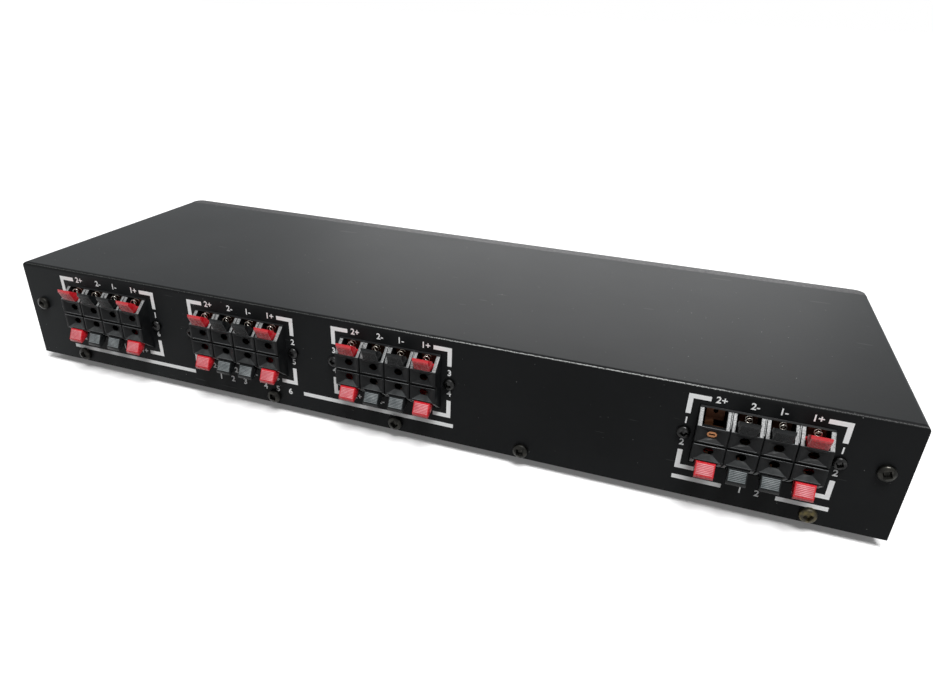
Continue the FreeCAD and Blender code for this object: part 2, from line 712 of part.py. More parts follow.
def front_panel():
    """Return the front moulding: rounded ends, a hollow back, bosses and button openings."""
    body = block(-HALF_WIDTH, HALF_WIDTH, FRONT_Y, FASCIA_BACK_Y, CASE_BASE_Z, CASE_TOP_Z)
    corners = [e for e in body.Edges if e.BoundBox.ZLength > FASCIA_CORNER
               and e.BoundBox.YMax < FRONT_Y + FASCIA_EDGE]
    body = body.makeFillet(FASCIA_CORNER, corners)
    rims = [e for e in body.Edges if e.BoundBox.YMin < FRONT_Y + FASCIA_CORNER
            and e.BoundBox.ZLength < SAME and e.BoundBox.YMax < FASCIA_BACK_Y - SAME
            or e.BoundBox.ZLength < SAME and e.BoundBox.YLength < SAME
            and e.BoundBox.YMax < FRONT_Y + FASCIA_EDGE]
    body = body.makeChamfer(FASCIA_EDGE, rims)
    hollow = block(-HALF_WIDTH + FASCIA_CORNER, HALF_WIDTH - FASCIA_CORNER, FRONT_Y + FASCIA_WALL,
                   FASCIA_BACK_Y, CASE_BASE_Z + FASCIA_WALL, CASE_TOP_Z - FASCIA_WALL)
    body = body.cut(hollow)
    bosses = []
    for x, z in fascia_screw_places():
        bosses.append(prism(FASCIA_BOSS_RADIUS, SHANK_SIDES, FASCIA_THICK - FASCIA_WALL,
                            vector(x, FASCIA_BACK_Y, z), BACKWARD))
    cuts = []
    for x, z in fascia_screw_places():
        cuts.append(screw_hole(BOARD_SHANK_RADIUS + THREAD_GAP, FASCIA_THICK - FASCIA_WALL,
                               vector(x, FASCIA_BACK_Y, z), BACKWARD))
    for x in button_places().values():
        half_x = BUTTON_WIDTH / 2.0 + BUTTON_GAP
        half_z = BUTTON_HEIGHT / 2.0 + BUTTON_GAP
        cuts.append(block(x - half_x, x + half_x, FRONT_Y - BUTTON_REACH, FASCIA_BACK_Y,
                          BUTTON_Z - half_z, BUTTON_Z + half_z))
    return body.fuse(bosses).cut(cuts)


def push_button(x):
    """Return a button's cap and the switch plunger that it is pressed on, as two solids."""
    face_y = FRONT_Y - BUTTON_REACH
    cap_back = face_y + BUTTON_DEPTH
    cap = block(x - BUTTON_WIDTH / 2.0, x + BUTTON_WIDTH / 2.0, face_y, cap_back,
                BUTTON_Z - BUTTON_HEIGHT / 2.0, BUTTON_Z + BUTTON_HEIGHT / 2.0)
    rim = [e for e in cap.Edges if e.BoundBox.YMax < face_y + BUTTON_BEVEL]
    cap = cap.makeChamfer(BUTTON_BEVEL, rim)
    half = PLUNGER_SIZE / 2.0
    plunger_tip = cap_back - SOCKET_DEPTH
    socket = block(x - half, x + half, plunger_tip, cap_back, BUTTON_Z - half, BUTTON_Z + half)
    cap = cap.cut(socket)
    plunger = block(x - half, x + half, plunger_tip, SWITCH_FRONT_Y + PLUNGER_BURIED,
                    BUTTON_Z - half, BUTTON_Z + half)
    return Part.makeCompound([cap, plunger])


def switch_bodies():
    """Return the latching switch housings, each with the channel that its plunger slides in."""
    solids = []
    half = PLUNGER_SIZE / 2.0 + PLUNGER_GAP
    for x in button_places().values():
        body = block(x - SWITCH_WIDTH / 2.0, x + SWITCH_WIDTH / 2.0, SWITCH_FRONT_Y,
                     SWITCH_FRONT_Y + SWITCH_DEPTH, BUTTON_Z - SWITCH_HEIGHT / 2.0,
                     BUTTON_Z + SWITCH_HEIGHT / 2.0)
        bore = block(x - half, x + half, SWITCH_FRONT_Y, SWITCH_FRONT_Y + SWITCH_BORE_DEPTH,
                     BUTTON_Z - half, BUTTON_Z + half)
        solids.append(body.cut(bore))
    return Part.makeCompound(solids)


def switch_board():
    """Return the circuit board that carries the switches."""
    board = block(-BOARD_LENGTH / 2.0, BOARD_LENGTH / 2.0, BOARD_FRONT_Y,
                  BOARD_FRONT_Y + BOARD_DEPTH, BOARD_Z, BOARD_Z + BOARD_THICK)
    holes = []
    for x, y in standoff_places():
        holes.append(screw_hole(BOARD_SHANK_RADIUS + SCREW_CLEARANCE, BOARD_THICK,
                                vector(x, y, BOARD_Z), UP))
    return board.cut(holes)


def header_y():
    """Return the Y of the board headers' rear faces."""
    return BOARD_FRONT_Y + BOARD_DEPTH - HEADER_EDGE_GAP


def header_x(name):
    """Return the X of the board header that serves a terminal block."""
    return (BOARD_LENGTH / 2.0 - HEADER_END_INSET) * BLOCK_SHARES[name]


def board_headers():
    """Return the wire headers on the board, one for each terminal block."""
    solids = []
    for name in BLOCK_SHARES:
        x = header_x(name)
        solids.append(block(x - HEADER_LENGTH / 2.0, x + HEADER_LENGTH / 2.0,
                            header_y() - HEADER_DEPTH, header_y(), BOARD_Z + BOARD_THICK,
                            BOARD_Z + BOARD_THICK + HEADER_HEIGHT))
    return Part.makeCompound(solids)


def board_standoffs():
    """Return the posts that hold the board off the tray's floor."""
    solids = []
    for x, y in standoff_places():
        post = prism(STANDOFF_RADIUS, SHANK_SIDES, STANDOFF_HEIGHT, vector(x, y, TRAY_FLOOR_Z), UP)
        hole = screw_hole(BOARD_SHANK_RADIUS + THREAD_GAP, BOARD_SCREW_LENGTH,
                          vector(x, y, BOARD_Z), vector(0, 0, -1))
        solids.append(post.cut(hole))
    return Part.makeCompound(solids)


def wire_looms():
    """Return the flat looms from the blocks to the board headers, each bent twice."""
    solids = []
    start_y = REAR_Y - TAG_REACH
    for name in BLOCK_SHARES:
        x0 = block_x(name)
        x1 = header_x(name)
        low = BOARD_Z + BOARD_THICK + HEADER_HEIGHT / 2.0
        high = BLOCK_Z
        drop_y = header_y() + LOOM_BEND
        points = [
            vector(x0, start_y, high),
            vector(x0, start_y - LOOM_BEND, high),
            vector(x1, drop_y, low),
            vector(x1, header_y(), low),
        ]
        section = Part.makePolygon([
            points[0] + vector(-LOOM_WIDTH / 2.0, 0, -LOOM_THICK / 2.0),
            points[0] + vector(LOOM_WIDTH / 2.0, 0, -LOOM_THICK / 2.0),
            points[0] + vector(LOOM_WIDTH / 2.0, 0, LOOM_THICK / 2.0),
            points[0] + vector(-LOOM_WIDTH / 2.0, 0, LOOM_THICK / 2.0),
            points[0] + vector(-LOOM_WIDTH / 2.0, 0, -LOOM_THICK / 2.0),
        ])
        sections = []
        for point in points:
            copy = section.copy()
            copy.translate(point - points[0])
            sections.append(copy)
        solids.append(Part.makeLoft(sections, True, True))
    return Part.makeCompound(solids)


def terminal_screws():
    """Return the two screws of each terminal block."""
    solids = []
    for name in BLOCK_SHARES:
        for side in (-1, 1):
            seat = vector(block_x(name) + side * TERMINAL_SCREW_HALF, REAR_Y, BLOCK_Z)
            solids.append(pan_screw(TERMINAL_HEAD_RADIUS, TERMINAL_HEAD_HEIGHT,
                                    TERMINAL_SHANK_RADIUS, TERMINAL_SHANK_LENGTH, seat, OUTWARD,
                                    HEAD_SIDES))
    return Part.makeCompound(solids)


def cover_screws():
    """Return the screws along the rear panel's foot and at its ends."""
    solids = []
    for x, z in cover_screw_places():
        solids.append(pan_screw(COVER_HEAD_RADIUS, COVER_HEAD_HEIGHT, COVER_SHANK_RADIUS,
                                COVER_SHANK_LENGTH, vector(x, REAR_Y, z), OUTWARD,
                                HEAD_SIDES))
    return Part.makeCompound(solids)


def rubber_feet():
    """Return the four round feet that are stuck to the tray's floor."""
    solids = []
    for x, y in foot_places():
        foot = flat_sided([ring_at(FOOT_BOTTOM_RADIUS, FOOT_SIDES, 0.0),
                           ring_at(FOOT_RADIUS, FOOT_SIDES, FOOT_HEIGHT)])
        foot.translate(vector(x, y, 0))
        solids.append(foot)
    return Part.makeCompound(solids)


def board_screws():
    """Return the screws that hold the board to its posts."""
    solids = []
    for x, y in standoff_places():
        solids.append(pan_screw(BOARD_HEAD_RADIUS, BOARD_HEAD_HEIGHT, BOARD_SHANK_RADIUS,
                                BOARD_SCREW_LENGTH, vector(x, y, BOARD_Z + BOARD_THICK), UP,
                                INNER_HEAD_SIDES))
    return Part.makeCompound(solids)


def front_panel_screws():
    """Return the screws that hold the front panel, driven from inside the tray."""
    solids = []
    for x, z in fascia_screw_places():
        solids.append(pan_screw(BOARD_HEAD_RADIUS, BOARD_HEAD_HEIGHT, BOARD_SHANK_RADIUS,
                                BOARD_SCREW_LENGTH - SHEET, vector(x, FASCIA_BACK_Y + SHEET, z),
                                OUTWARD, INNER_HEAD_SIDES))
    return Part.makeCompound(solids)


def build():
    """Return every node of the object by name."""
    nodes = {
        "top_cover": top_cover(),
        "base_tray": base_tray(),
        "front_panel": front_panel(),
        "contact_strips": contact_strips(),
        "lever_springs": lever_springs(),
        "terminal_screws": terminal_screws(),
        "cover_screws": cover_screws(),
        "rubber_feet": rubber_feet(),
        "switch_board": switch_board(),
        "switch_bodies": switch_bodies(),
        "board_headers": board_headers(),
        "board_standoffs": board_standoffs(),
        "board_screws": board_screws(),
        "front_panel_screws": front_panel_screws(),
        "wire_looms": wire_looms(),
        "terminal_backs": Part.makeCompound([terminal_back(name) for name in BLOCK_SHARES]),
    }
    for name in BLOCK_SHARES:
        nodes["terminal_block_" + name] = terminal_block(name)
    for name, x in button_places().items():
        nodes["button_" + name] = push_button(x)
    top_lever = lever()
    for name, row, index in terminals():
        if has_lever(name, row, index):
            node = "lever_%s_%s" % (ROW_NAMES[name][row], CELL_NAMES[index])
            nodes[node] = place_in_block(top_lever, name, row, index)
    return nodes


def main():
    """Write one STEP file for each node."""
    os.makedirs("parts", exist_ok=True)
    nodes = build()
    for name, shape in nodes.items():
        shape.exportStep(os.path.join("parts", name + ".step"))
    print("nodes", len(nodes))
    print("least gap between spring turns: %.2f mm" % spring_gap())


main()
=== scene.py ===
import json
import logging
import math
from collections.abc import Callable
from dataclasses import dataclass, field
from enum import Enum, IntEnum

import bmesh
import bpy
from mathutils import Matrix, Vector

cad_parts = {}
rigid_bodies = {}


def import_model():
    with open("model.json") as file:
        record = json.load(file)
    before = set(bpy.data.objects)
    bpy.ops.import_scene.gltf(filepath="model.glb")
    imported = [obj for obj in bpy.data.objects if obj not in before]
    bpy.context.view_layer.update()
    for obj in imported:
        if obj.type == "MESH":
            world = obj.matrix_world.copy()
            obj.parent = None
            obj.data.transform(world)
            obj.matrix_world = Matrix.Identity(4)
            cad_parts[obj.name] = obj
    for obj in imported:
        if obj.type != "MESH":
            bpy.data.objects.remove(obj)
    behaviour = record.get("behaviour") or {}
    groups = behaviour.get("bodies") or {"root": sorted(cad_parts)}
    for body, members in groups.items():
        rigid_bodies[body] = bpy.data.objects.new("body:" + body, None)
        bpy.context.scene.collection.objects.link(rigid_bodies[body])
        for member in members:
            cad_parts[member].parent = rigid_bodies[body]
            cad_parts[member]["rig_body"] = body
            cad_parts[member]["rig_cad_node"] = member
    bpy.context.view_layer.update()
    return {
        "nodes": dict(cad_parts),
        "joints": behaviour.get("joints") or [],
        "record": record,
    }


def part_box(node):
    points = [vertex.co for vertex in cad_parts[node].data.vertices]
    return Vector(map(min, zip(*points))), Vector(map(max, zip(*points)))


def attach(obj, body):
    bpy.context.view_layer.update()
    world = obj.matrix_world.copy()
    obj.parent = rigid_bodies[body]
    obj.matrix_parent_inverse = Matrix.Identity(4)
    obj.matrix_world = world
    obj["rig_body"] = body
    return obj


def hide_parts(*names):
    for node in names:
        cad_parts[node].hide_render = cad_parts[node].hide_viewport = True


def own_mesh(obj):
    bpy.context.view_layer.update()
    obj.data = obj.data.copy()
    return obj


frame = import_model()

log = logging.getLogger("speaker_switch")

Triple = tuple[float, float, float]
Pair = tuple[float, float]
Quad = tuple[float, float, float, float]

MM = 0.001
CASE_BODY = "case"
PANEL_NODE = "top_cover"
MERGE_WITHIN = 0.002 * MM
FLAT_WITHIN = math.radians(1.0)
EDGES_FROM = math.radians(25.0)
QUARTER_TURN = math.pi / 2.0
TOUCHING = 0.0001 * MM
SQUARE_ON = 0.99
FACING = 0.9
NOISE_LOW = 0.3
NOISE_HIGH = 0.7
WHITE = (1.0, 1.0, 1.0, 1.0)


class Row(Enum):
    """A row of terminals on a block: its value is the side of the row split that it is on."""

    TOP = 1
    BOTTOM = -1

    @classmethod
    def of_lever(cls, name: str) -> "Row":
        """Return the row that the lever of a node is in."""
        in_top = ("speaker_1_", "speaker_2_", "speaker_3_", "input_a_")
        return cls.TOP if any(part in name for part in in_top) else cls.BOTTOM


class Tone(Enum):
    """The two colours of lever: the value is the material slot."""

    RED = "lever_red"
    BLACK = "lever_black"


class Panel(Enum):
    """The two panels that are printed on."""

    REAR = "rear"
    FRONT = "front"


class BlockSkin(IntEnum):
    """The finishes of a terminal block's moulding, by material index."""

    BODY = 0
    # sloping walls: mould texture with a painted highlight
    WALL = 1
    # up-facing front lips: a painted highlight line
    LIP = 2
    # bottom row's up-facing funnel slopes: painted light from above
    FUNNEL = 3


class LeverSkin(IntEnum):
    """The finishes of a lever, by material index."""

    BODY = 0
    # the ribs: a painted highlight colour on the bottom row
    RIBS = 1


# Small tools


def deselect() -> None:
    """Leave edit mode and deselect every object."""
    if bpy.context.object and bpy.context.object.mode != "OBJECT":
        bpy.ops.object.mode_set(mode="OBJECT")
    bpy.ops.object.select_all(action="DESELECT")


def take(piece: bpy.types.Object) -> bpy.types.Object:
    """Make a piece the only selected and the active object.

    Args:
        piece: The object to take in hand.

    Returns:
        The same object.
    """
    deselect()
    piece.select_set(True)
    bpy.context.view_layer.objects.active = piece
    return piece


def settle(piece: bpy.types.Object) -> bpy.types.Object:
    """Apply a piece's place, turn and scale to its mesh.

    Args:
        piece: The object to settle at the origin.

    Returns:
        The same object.
    """
    take(piece)
    bpy.ops.object.transform_apply(location=True, rotation=True, scale=True)
    return piece


def pick_faces(piece: bpy.types.Object, wanted: Callable[[bmesh.types.BMFace], bool]) -> None:
    """Select the faces of a piece for which a test holds, in edit mode.

    Args:
        piece: The object in edit mode.
        wanted: The test of a face.
    """
    bpy.ops.mesh.select_all(action="DESELECT")
    bpy.ops.mesh.select_mode(type="FACE")
    mesh = bmesh.from_edit_mesh(piece.data)
    for face in mesh.faces:
        if wanted(face):
            face.select_set(True)
    mesh.select_flush(True)
    bmesh.update_edit_mesh(piece.data)


def own_copy(piece: bpy.types.Object, name: str, place: Matrix) -> bpy.types.Object:
    """Return a copy of a piece with a mesh of its own, moved to its place.

    Args:
        piece: The finished master piece.
        name: Name of the copy.
        place: The move from the master's place to the copy's.

    Returns:
        The new object, at the origin, with its place in its mesh.
    """
    copy = piece.copy()
    copy.data = piece.data.copy()
    copy.name = name
    copy.data.name = name
    copy.data.transform(place)
    bpy.context.scene.collection.objects.link(copy)
    return copy


def join(pieces: list[bpy.types.Object], name: str) -> bpy.types.Object:
    """Join two or more pieces into one object.

    Args:
        pieces: The objects to join; the first one keeps its mesh.
        name: Name of the joined object.

    Returns:
        The joined object.
    """
    deselect()
    for piece in pieces:
        piece.select_set(True)
    bpy.context.view_layer.objects.active = pieces[0]
    bpy.ops.object.join()
    pieces[0].name = name
    pieces[0].data.name = name
    return pieces[0]


def finish_with(piece: bpy.types.Object, kind: str, **settings: object) -> None:
    """Add a modifier to a piece and apply it.

    Args:
        piece: The object to change.
        kind: Blender's type of modifier.
        settings: Values set on the modifier before it is applied.
    """
    take(piece)
    modifier = piece.modifiers.new(kind.lower(), kind)
    for key, value in settings.items():
        setattr(modifier, key, value)
    bpy.ops.object.modifier_apply(modifier=modifier.name)


def solid_from_node(name: str, piece_name: str, edge: float) -> bpy.types.Object:
    """Return a copy of a CAD node with merged corners, clean flats and eased edges.

    Args:
        name: The CAD node.
        piece_name: Name of the new piece.
        edge: Width of the eased edges, in metres.

    Returns:
        The new piece.
    """
    piece = frame["nodes"][name].copy()
    piece.data = piece.data.copy()
    piece.name = piece_name
    piece.parent = None
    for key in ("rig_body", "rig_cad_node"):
        if key in piece:
            del piece[key]
    bpy.context.scene.collection.objects.link(piece)
    take(piece)
    bpy.ops.object.mode_set(mode="EDIT")
    bpy.ops.mesh.select_all(action="SELECT")
    bpy.ops.mesh.remove_doubles(threshold=MERGE_WITHIN)
    bpy.ops.mesh.dissolve_limited(angle_limit=FLAT_WITHIN)
    bpy.ops.object.mode_set(mode="OBJECT")
    finish_with(piece, "BEVEL", width=edge, segments=2, limit_method="ANGLE",
                angle_limit=EDGES_FROM, use_clamp_overlap=True)
    return piece


def smooth_by_angle(piece: bpy.types.Object, degrees: float) -> None:
    """Shade a piece smooth where its faces meet at less than an angle in degrees."""
    take(piece)
    bpy.ops.object.shade_smooth_by_angle(angle=math.radians(degrees))


# Finishes


@dataclass(frozen=True)
class Waves:
    """A noise over a surface: its waves to the metre, its finer layers and its stretch in X, Y and Z."""

    scale: float
    detail: float = 2.0
    stretch: Triple = (1.0, 1.0, 1.0)


class Sheet:
    """The node tree of one material, with short calls for the nodes that the finishes use."""

    def __init__(self, name: str) -> None:
        """Start a material with a Principled shader and Object coordinates.

        Args:
            name: Name of the material.
        """
        self.material = bpy.data.materials.new(name)
        self.material.use_nodes = True
        self.tree = self.material.node_tree
        self.shader = self.tree.nodes["Principled BSDF"]
        self.coordinates = self.tree.nodes.new("ShaderNodeTexCoord").outputs["Object"]

    def node(self, kind: str, **settings: object) -> bpy.types.Node:
        """Return a new node.

        Args:
            kind: Blender's type of node.
            settings: Properties set on the node.

        Returns:
            The node.
        """
        made = self.tree.nodes.new(kind)
        for key, value in settings.items():
            setattr(made, key, value)
        return made

    def link(self, source: bpy.types.NodeSocket, target: bpy.types.NodeSocket) -> None:
        """Join two sockets."""
        self.tree.links.new(source, target)

    def noise(self, waves: Waves) -> bpy.types.NodeSocket:
        """Return the value of a noise.

        Args:
            waves: Its scale, detail and stretch.

        Returns:
            The socket with the noise, from 0 to 1.
        """
        mapping = self.node("ShaderNodeMapping")
        mapping.inputs["Scale"].default_value = waves.stretch
        self.link(self.coordinates, mapping.inputs["Vector"])
        made = self.node("ShaderNodeTexNoise")
        made.inputs["Scale"].default_value = waves.scale
        made.inputs["Detail"].default_value = waves.detail
        self.link(mapping.outputs["Vector"], made.inputs["Vector"])
        return made.outputs["Fac"]

    def band(self, value: bpy.types.NodeSocket, low: float, high: float,
             start: float = 0.0, stop: float = 1.0) -> bpy.types.NodeSocket:
        """Return a value stretched smoothly from one range to another.

        Args:
            value: The socket to stretch.
            low: The value that becomes start.
            high: The value that becomes stop.
            start: The first end of the new range.
            stop: The other end of the new range.

        Returns:
            The socket with the new value, held within its range.
        """
        made = self.node("ShaderNodeMapRange", interpolation_type="SMOOTHSTEP")
        made.inputs["From Min"].default_value = low
        made.inputs["From Max"].default_value = high
        made.inputs["To Min"].default_value = start
        made.inputs["To Max"].default_value = stop
        self.link(value, made.inputs["Value"])
        return made.outputs["Result"]

    def spread(self, noise: bpy.types.NodeSocket, start: float, stop: float) -> bpy.types.NodeSocket:
        """Return a noise stretched so that its usual values fill the range from start to stop."""
        return self.band(noise, NOISE_LOW, NOISE_HIGH, start, stop)

    def combine(self, kind: str, first: bpy.types.NodeSocket,
                second: bpy.types.NodeSocket | float) -> bpy.types.NodeSocket:
        """Return a sum, product or other combination of two values.

        Args:
            kind: Blender's name of the operation.
            first: The first value.
            second: The second value, a socket or a number.

        Returns:
            The socket with the result.
        """
        made = self.node("ShaderNodeMath", operation=kind)
        self.link(first, made.inputs[0])
        if isinstance(second, (int, float)):
            made.inputs[1].default_value = second
        else:
            self.link(second, made.inputs[1])
        return made.outputs["Value"]

    def place(self) -> bpy.types.Node:
        """Split the Object coordinates.

        Returns:
            A node that gives the X, Y and Z of a point on the object.
        """
        made = self.node("ShaderNodeSeparateXYZ")
        self.link(self.coordinates, made.inputs["Vector"])
        return made

    def mix(self, share: bpy.types.NodeSocket, first: bpy.types.NodeSocket | Triple,
            second: bpy.types.NodeSocket | Triple) -> bpy.types.NodeSocket:
        """Return a mix of two colours.

        Args:
            share: How much of the second colour there is.
            first: The first colour, a socket or three numbers.
            second: The second colour, a socket or three numbers.

        Returns:
            The socket with the mixed colour.
        """
        made = self.node("ShaderNodeMix", data_type="RGBA")
        self.link(share, made.inputs[0])
        colours = {6: first, 7: second}
        for slot, value in colours.items():
            if isinstance(value, bpy.types.NodeSocket):
                self.link(value, made.inputs[slot])
            else:
                made.inputs[slot].default_value = (*value, 1.0)
        return made.outputs[2]

    def relief(self, height: bpy.types.NodeSocket, depth: float) -> None:
        """Give the surface a bump.

        Args:
            height: The pattern of the bump.
            depth: Its depth in metres.
        """
        made = self.node("ShaderNodeBump")
        made.inputs["Strength"].default_value = 1.0
        made.inputs["Distance"].default_value = depth
        self.link(height, made.inputs["Height"])
        self.link(made.outputs["Normal"], self.shader.inputs["Normal"])

    def colour(self, value: bpy.types.NodeSocket) -> None:
        """Link the base colour."""
        self.link(value, self.shader.inputs["Base Color"])

    def rough(self, value: bpy.types.NodeSocket | float) -> None:
        """Set or link the roughness.

        Args:
            value: The roughness, a socket or a number.
        """
        if isinstance(value, bpy.types.NodeSocket):
            self.link(value, self.shader.inputs["Roughness"])
        else:
            self.shader.inputs["Roughness"].default_value = value

    def set(self, name: str, value: float | Quad) -> None:
        """Set one of the shader's other inputs."""
        self.shader.inputs[name].default_value = value


@dataclass(frozen=True)
class MouldedPlastic:
    """Moulded plastic: a base colour, slight clouding, rubbed patches and a fine grain."""

    name: str
    base: Triple
    cloud: Triple
    roughness: float
    grain: float = 9000.0
    depth: float = 0.012 * MM
    gloss: float = 0.5
    clouds: Waves = Waves(260.0, 4.0)
    clouded: Pair = (0.35, 0.7)
    patches: Waves = Waves(700.0, 3.0)
    smoother: float = 0.06
    rougher: float = 0.08

    def make(self) -> bpy.types.Material:
        """Make the material.

        Returns:
            The finished material.
        """
        sheet = Sheet(self.name)
        clouds = sheet.band(sheet.noise(self.clouds), *self.clouded)
        sheet.colour(sheet.mix(clouds, self.base, self.cloud))
        sheet.rough(sheet.spread(sheet.noise(self.patches), self.roughness - self.smoother,
                                 self.roughness + self.rougher))
        sheet.set("Specular IOR Level", self.gloss)
        sheet.relief(sheet.noise(Waves(self.grain)), self.depth)
        return sheet.material


@dataclass(frozen=True)
class WallTextureAndHighlight:
    """The coarse mould texture on a block's sloping walls, in a light grey that is a painted highlight of
    the lamp overhead, black again at their far ends.
    """

    name: str
    dark: Triple = (0.1, 0.104, 0.106)
    # light: a painted highlight colour, mixed with the dark colour by the pebble grain
    light: Triple = (0.26, 0.265, 0.265)
    black: Triple = (0.01, 0.0105, 0.011)
    reach: float = 13.1 * MM
    fade: float = 0.1 * MM
    pebbles: Waves = Waves(1900.0, 4.0)
    pebbled: Pair = (0.4, 0.62)
    depth: float = 0.05 * MM
    roughness: float = 0.46
    gloss: Pair = (0.5, 0.04)

    def make(self) -> bpy.types.Material:
        """Make the material.

        Returns:
            The finished material.
        """
        sheet = Sheet(self.name)
        low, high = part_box("terminal_block_input")
        height = sheet.combine("SUBTRACT", sheet.place().outputs["Z"], (low.z + high.z) / 2.0)
        height = sheet.combine("ABSOLUTE", height, 0.0)
        end = sheet.band(height, self.reach, self.reach + self.fade)
        grain = sheet.noise(self.pebbles)
        # the pebble grain mixes the dark plastic with the painted highlight colour
        pebbles = sheet.mix(sheet.band(grain, *self.pebbled), self.dark, self.light)
        sheet.colour(sheet.mix(end, pebbles, self.black))
        sheet.rough(self.roughness)
        gloss = sheet.band(height, self.reach, self.reach + self.fade, *self.gloss)
        sheet.link(gloss, sheet.shader.inputs["Specular IOR Level"])
        sheet.relief(grain, self.depth)
        return sheet.material


@dataclass(frozen=True)
class ScatteredMarks:
    """Small marks scattered over a surface: the peaks of a noise."""

    waves: Waves
    peaks: Pair
    share: float

    def mask(self, sheet: Sheet) -> bpy.types.NodeSocket:
        """Return a mask for a material: the marks' share on a mark and 0 elsewhere."""
        return sheet.band(sheet.noise(self.waves), *self.peaks, 0.0, self.share)


@dataclass(frozen=True)
class PowderCoat:
    """Black powder coat on sheet steel, worn to bright metal along one bend."""

    name: str
    base: Triple = (0.0034, 0.0036, 0.0038)
    cloud: Triple = (0.0056, 0.0059, 0.0063)
    chip: Triple = (0.36, 0.37, 0.36)
    tint: Triple = (0.8, 0.93, 1.0)
    clouds: Waves = Waves(22.0, 3.0)
    clouded: Pair = (0.3, 0.72)
    roughness: float = 0.44
    patches: Waves = Waves(9.0, 3.0)
    uneven: float = 0.015
    polish: float = 0.8
    gloss: float = 0.06
    sheen: float = 0.1
    sheen_roughness: float = 0.4
    grain: Waves = Waves(2600.0, 3.0)
    ripple: Waves = Waves(750.0)
    depth: float = 0.012 * MM
    bend: float = 2.0 * MM
    crest_drop: float = 0.586
    crest_depth: float = 0.03 * MM
    tears: Waves = Waves(3600.0, 6.0, (0.6, 1.0, 1.0))
    ragged: Pair = (-0.03 * MM, 0.022 * MM)
    worn_left: Quad = (-0.06, 0.04, 1.0, 0.13)
    worn_right: Quad = (-0.17, -0.12, 0.16, 1.0)
    specks: ScatteredMarks = ScatteredMarks(Waves(560.0), (0.765, 0.8), 0.7)
    speck_columns: Pair = (0.1, 0.19)
    speck_rows: Pair = (-0.005, -0.05)
    flecks: ScatteredMarks = ScatteredMarks(Waves(900.0, 1.0), (0.8, 0.83), 0.4)
    scratches: ScatteredMarks = ScatteredMarks(Waves(210.0, 1.0, (0.2, 1.0, 3.2)), (0.76, 0.775), 0.04)
    worn: bool = False

    def make(self) -> bpy.types.Material:
        """Make the material.

        Returns:
            The finished material.
        """
        sheet = Sheet(self.name)
        clouds = sheet.band(sheet.noise(self.clouds), *self.clouded)
        paint = sheet.mix(clouds, self.base, self.cloud)
        rough = sheet.spread(sheet.noise(self.patches), self.roughness - self.uneven,
                             self.roughness + self.uneven)
        if self.worn:
            wear = self.wear(sheet)
            paint = sheet.mix(wear, paint, self.chip)
            rough = sheet.combine("MULTIPLY", rough, sheet.band(wear, 0.0, 1.0, 1.0, self.polish))
        sheet.colour(paint)
        sheet.rough(rough)
        sheet.set("Specular IOR Level", self.gloss)
        sheet.set("Sheen Weight", self.sheen)
        sheet.set("Sheen Roughness", self.sheen_roughness)
        sheet.set("Sheen Tint", (*self.tint, 1.0))
        grain = sheet.combine("ADD", sheet.noise(self.grain), sheet.noise(self.ripple))
        sheet.relief(grain, self.depth)
        return sheet.material

    def wear(self, sheet: Sheet) -> bpy.types.NodeSocket:
        """Return where the paint is chipped: the top bend, a few specks, and fine scratches.

        Args:
            sheet: The material that the mask is for.

        Returns:
            A mask that is 1 on bare metal and less on faint marks.
        """
        place = sheet.place()
        columns = sheet.band(place.outputs["X"], *self.speck_columns)
        rows = sheet.band(place.outputs["Y"], *self.speck_rows)
        speck = sheet.combine("MULTIPLY", self.specks.mask(sheet),
                              sheet.combine("MULTIPLY", columns, rows))
        large = sheet.combine("MAXIMUM", self.bend_line(sheet, place), speck)
        small = sheet.combine("MAXIMUM", self.flecks.mask(sheet), self.scratches.mask(sheet))
        return sheet.combine("MAXIMUM", large, small)

    def bend_line(self, sheet: Sheet, place: bpy.types.Node) -> bpy.types.NodeSocket:
        """Return the ragged line of bare metal on the crest of the bend over the rear panel.

        Args:
            sheet: The material that the mask is for.
            place: The node that gives a point's X, Y and Z.

        Returns:
            A mask that is strongest over the middle right of the panel.
        """
        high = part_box(PANEL_NODE)[1]
        nearness = sheet.combine("ADD", place.outputs["Z"], place.outputs["Y"])
        crest = high.z + high.y - self.crest_drop * self.bend
        ragged = sheet.spread(sheet.noise(self.tears), *self.ragged)
        line = sheet.band(sheet.combine("ADD", nearness, ragged), crest - self.crest_depth, crest)
        along = sheet.combine("MINIMUM", sheet.band(place.outputs["X"], *self.worn_left),
                              sheet.band(place.outputs["X"], *self.worn_right))
        return sheet.combine("MULTIPLY", line, along)


@dataclass(frozen=True)
class Metal:
    """Bare or plated metal with stains and fine drawing lines."""

    name: str
    base: Triple
    stain: Triple
    roughness: float
    stained: float = 0.6
    below: float = 0.2
    above: float = 0.15
    stains: Waves = Waves(420.0, 5.0)
    lines: Waves = Waves(2400.0, 3.0)
    depth: float = 0.006 * MM
    rougher: float = 0.22

    def make(self) -> bpy.types.Material:
        """Make the material.

        Returns:
            The finished material.
        """
        sheet = Sheet(self.name)
        stain = sheet.band(sheet.noise(self.stains), self.stained - self.below,
                           self.stained + self.above)
        sheet.colour(sheet.mix(stain, self.base, self.stain))
        sheet.rough(sheet.band(stain, 0.0, 1.0, self.roughness, self.roughness + self.rougher))
        sheet.set("Metallic", 1.0)
        sheet.relief(sheet.noise(self.lines), self.depth)
        return sheet.material


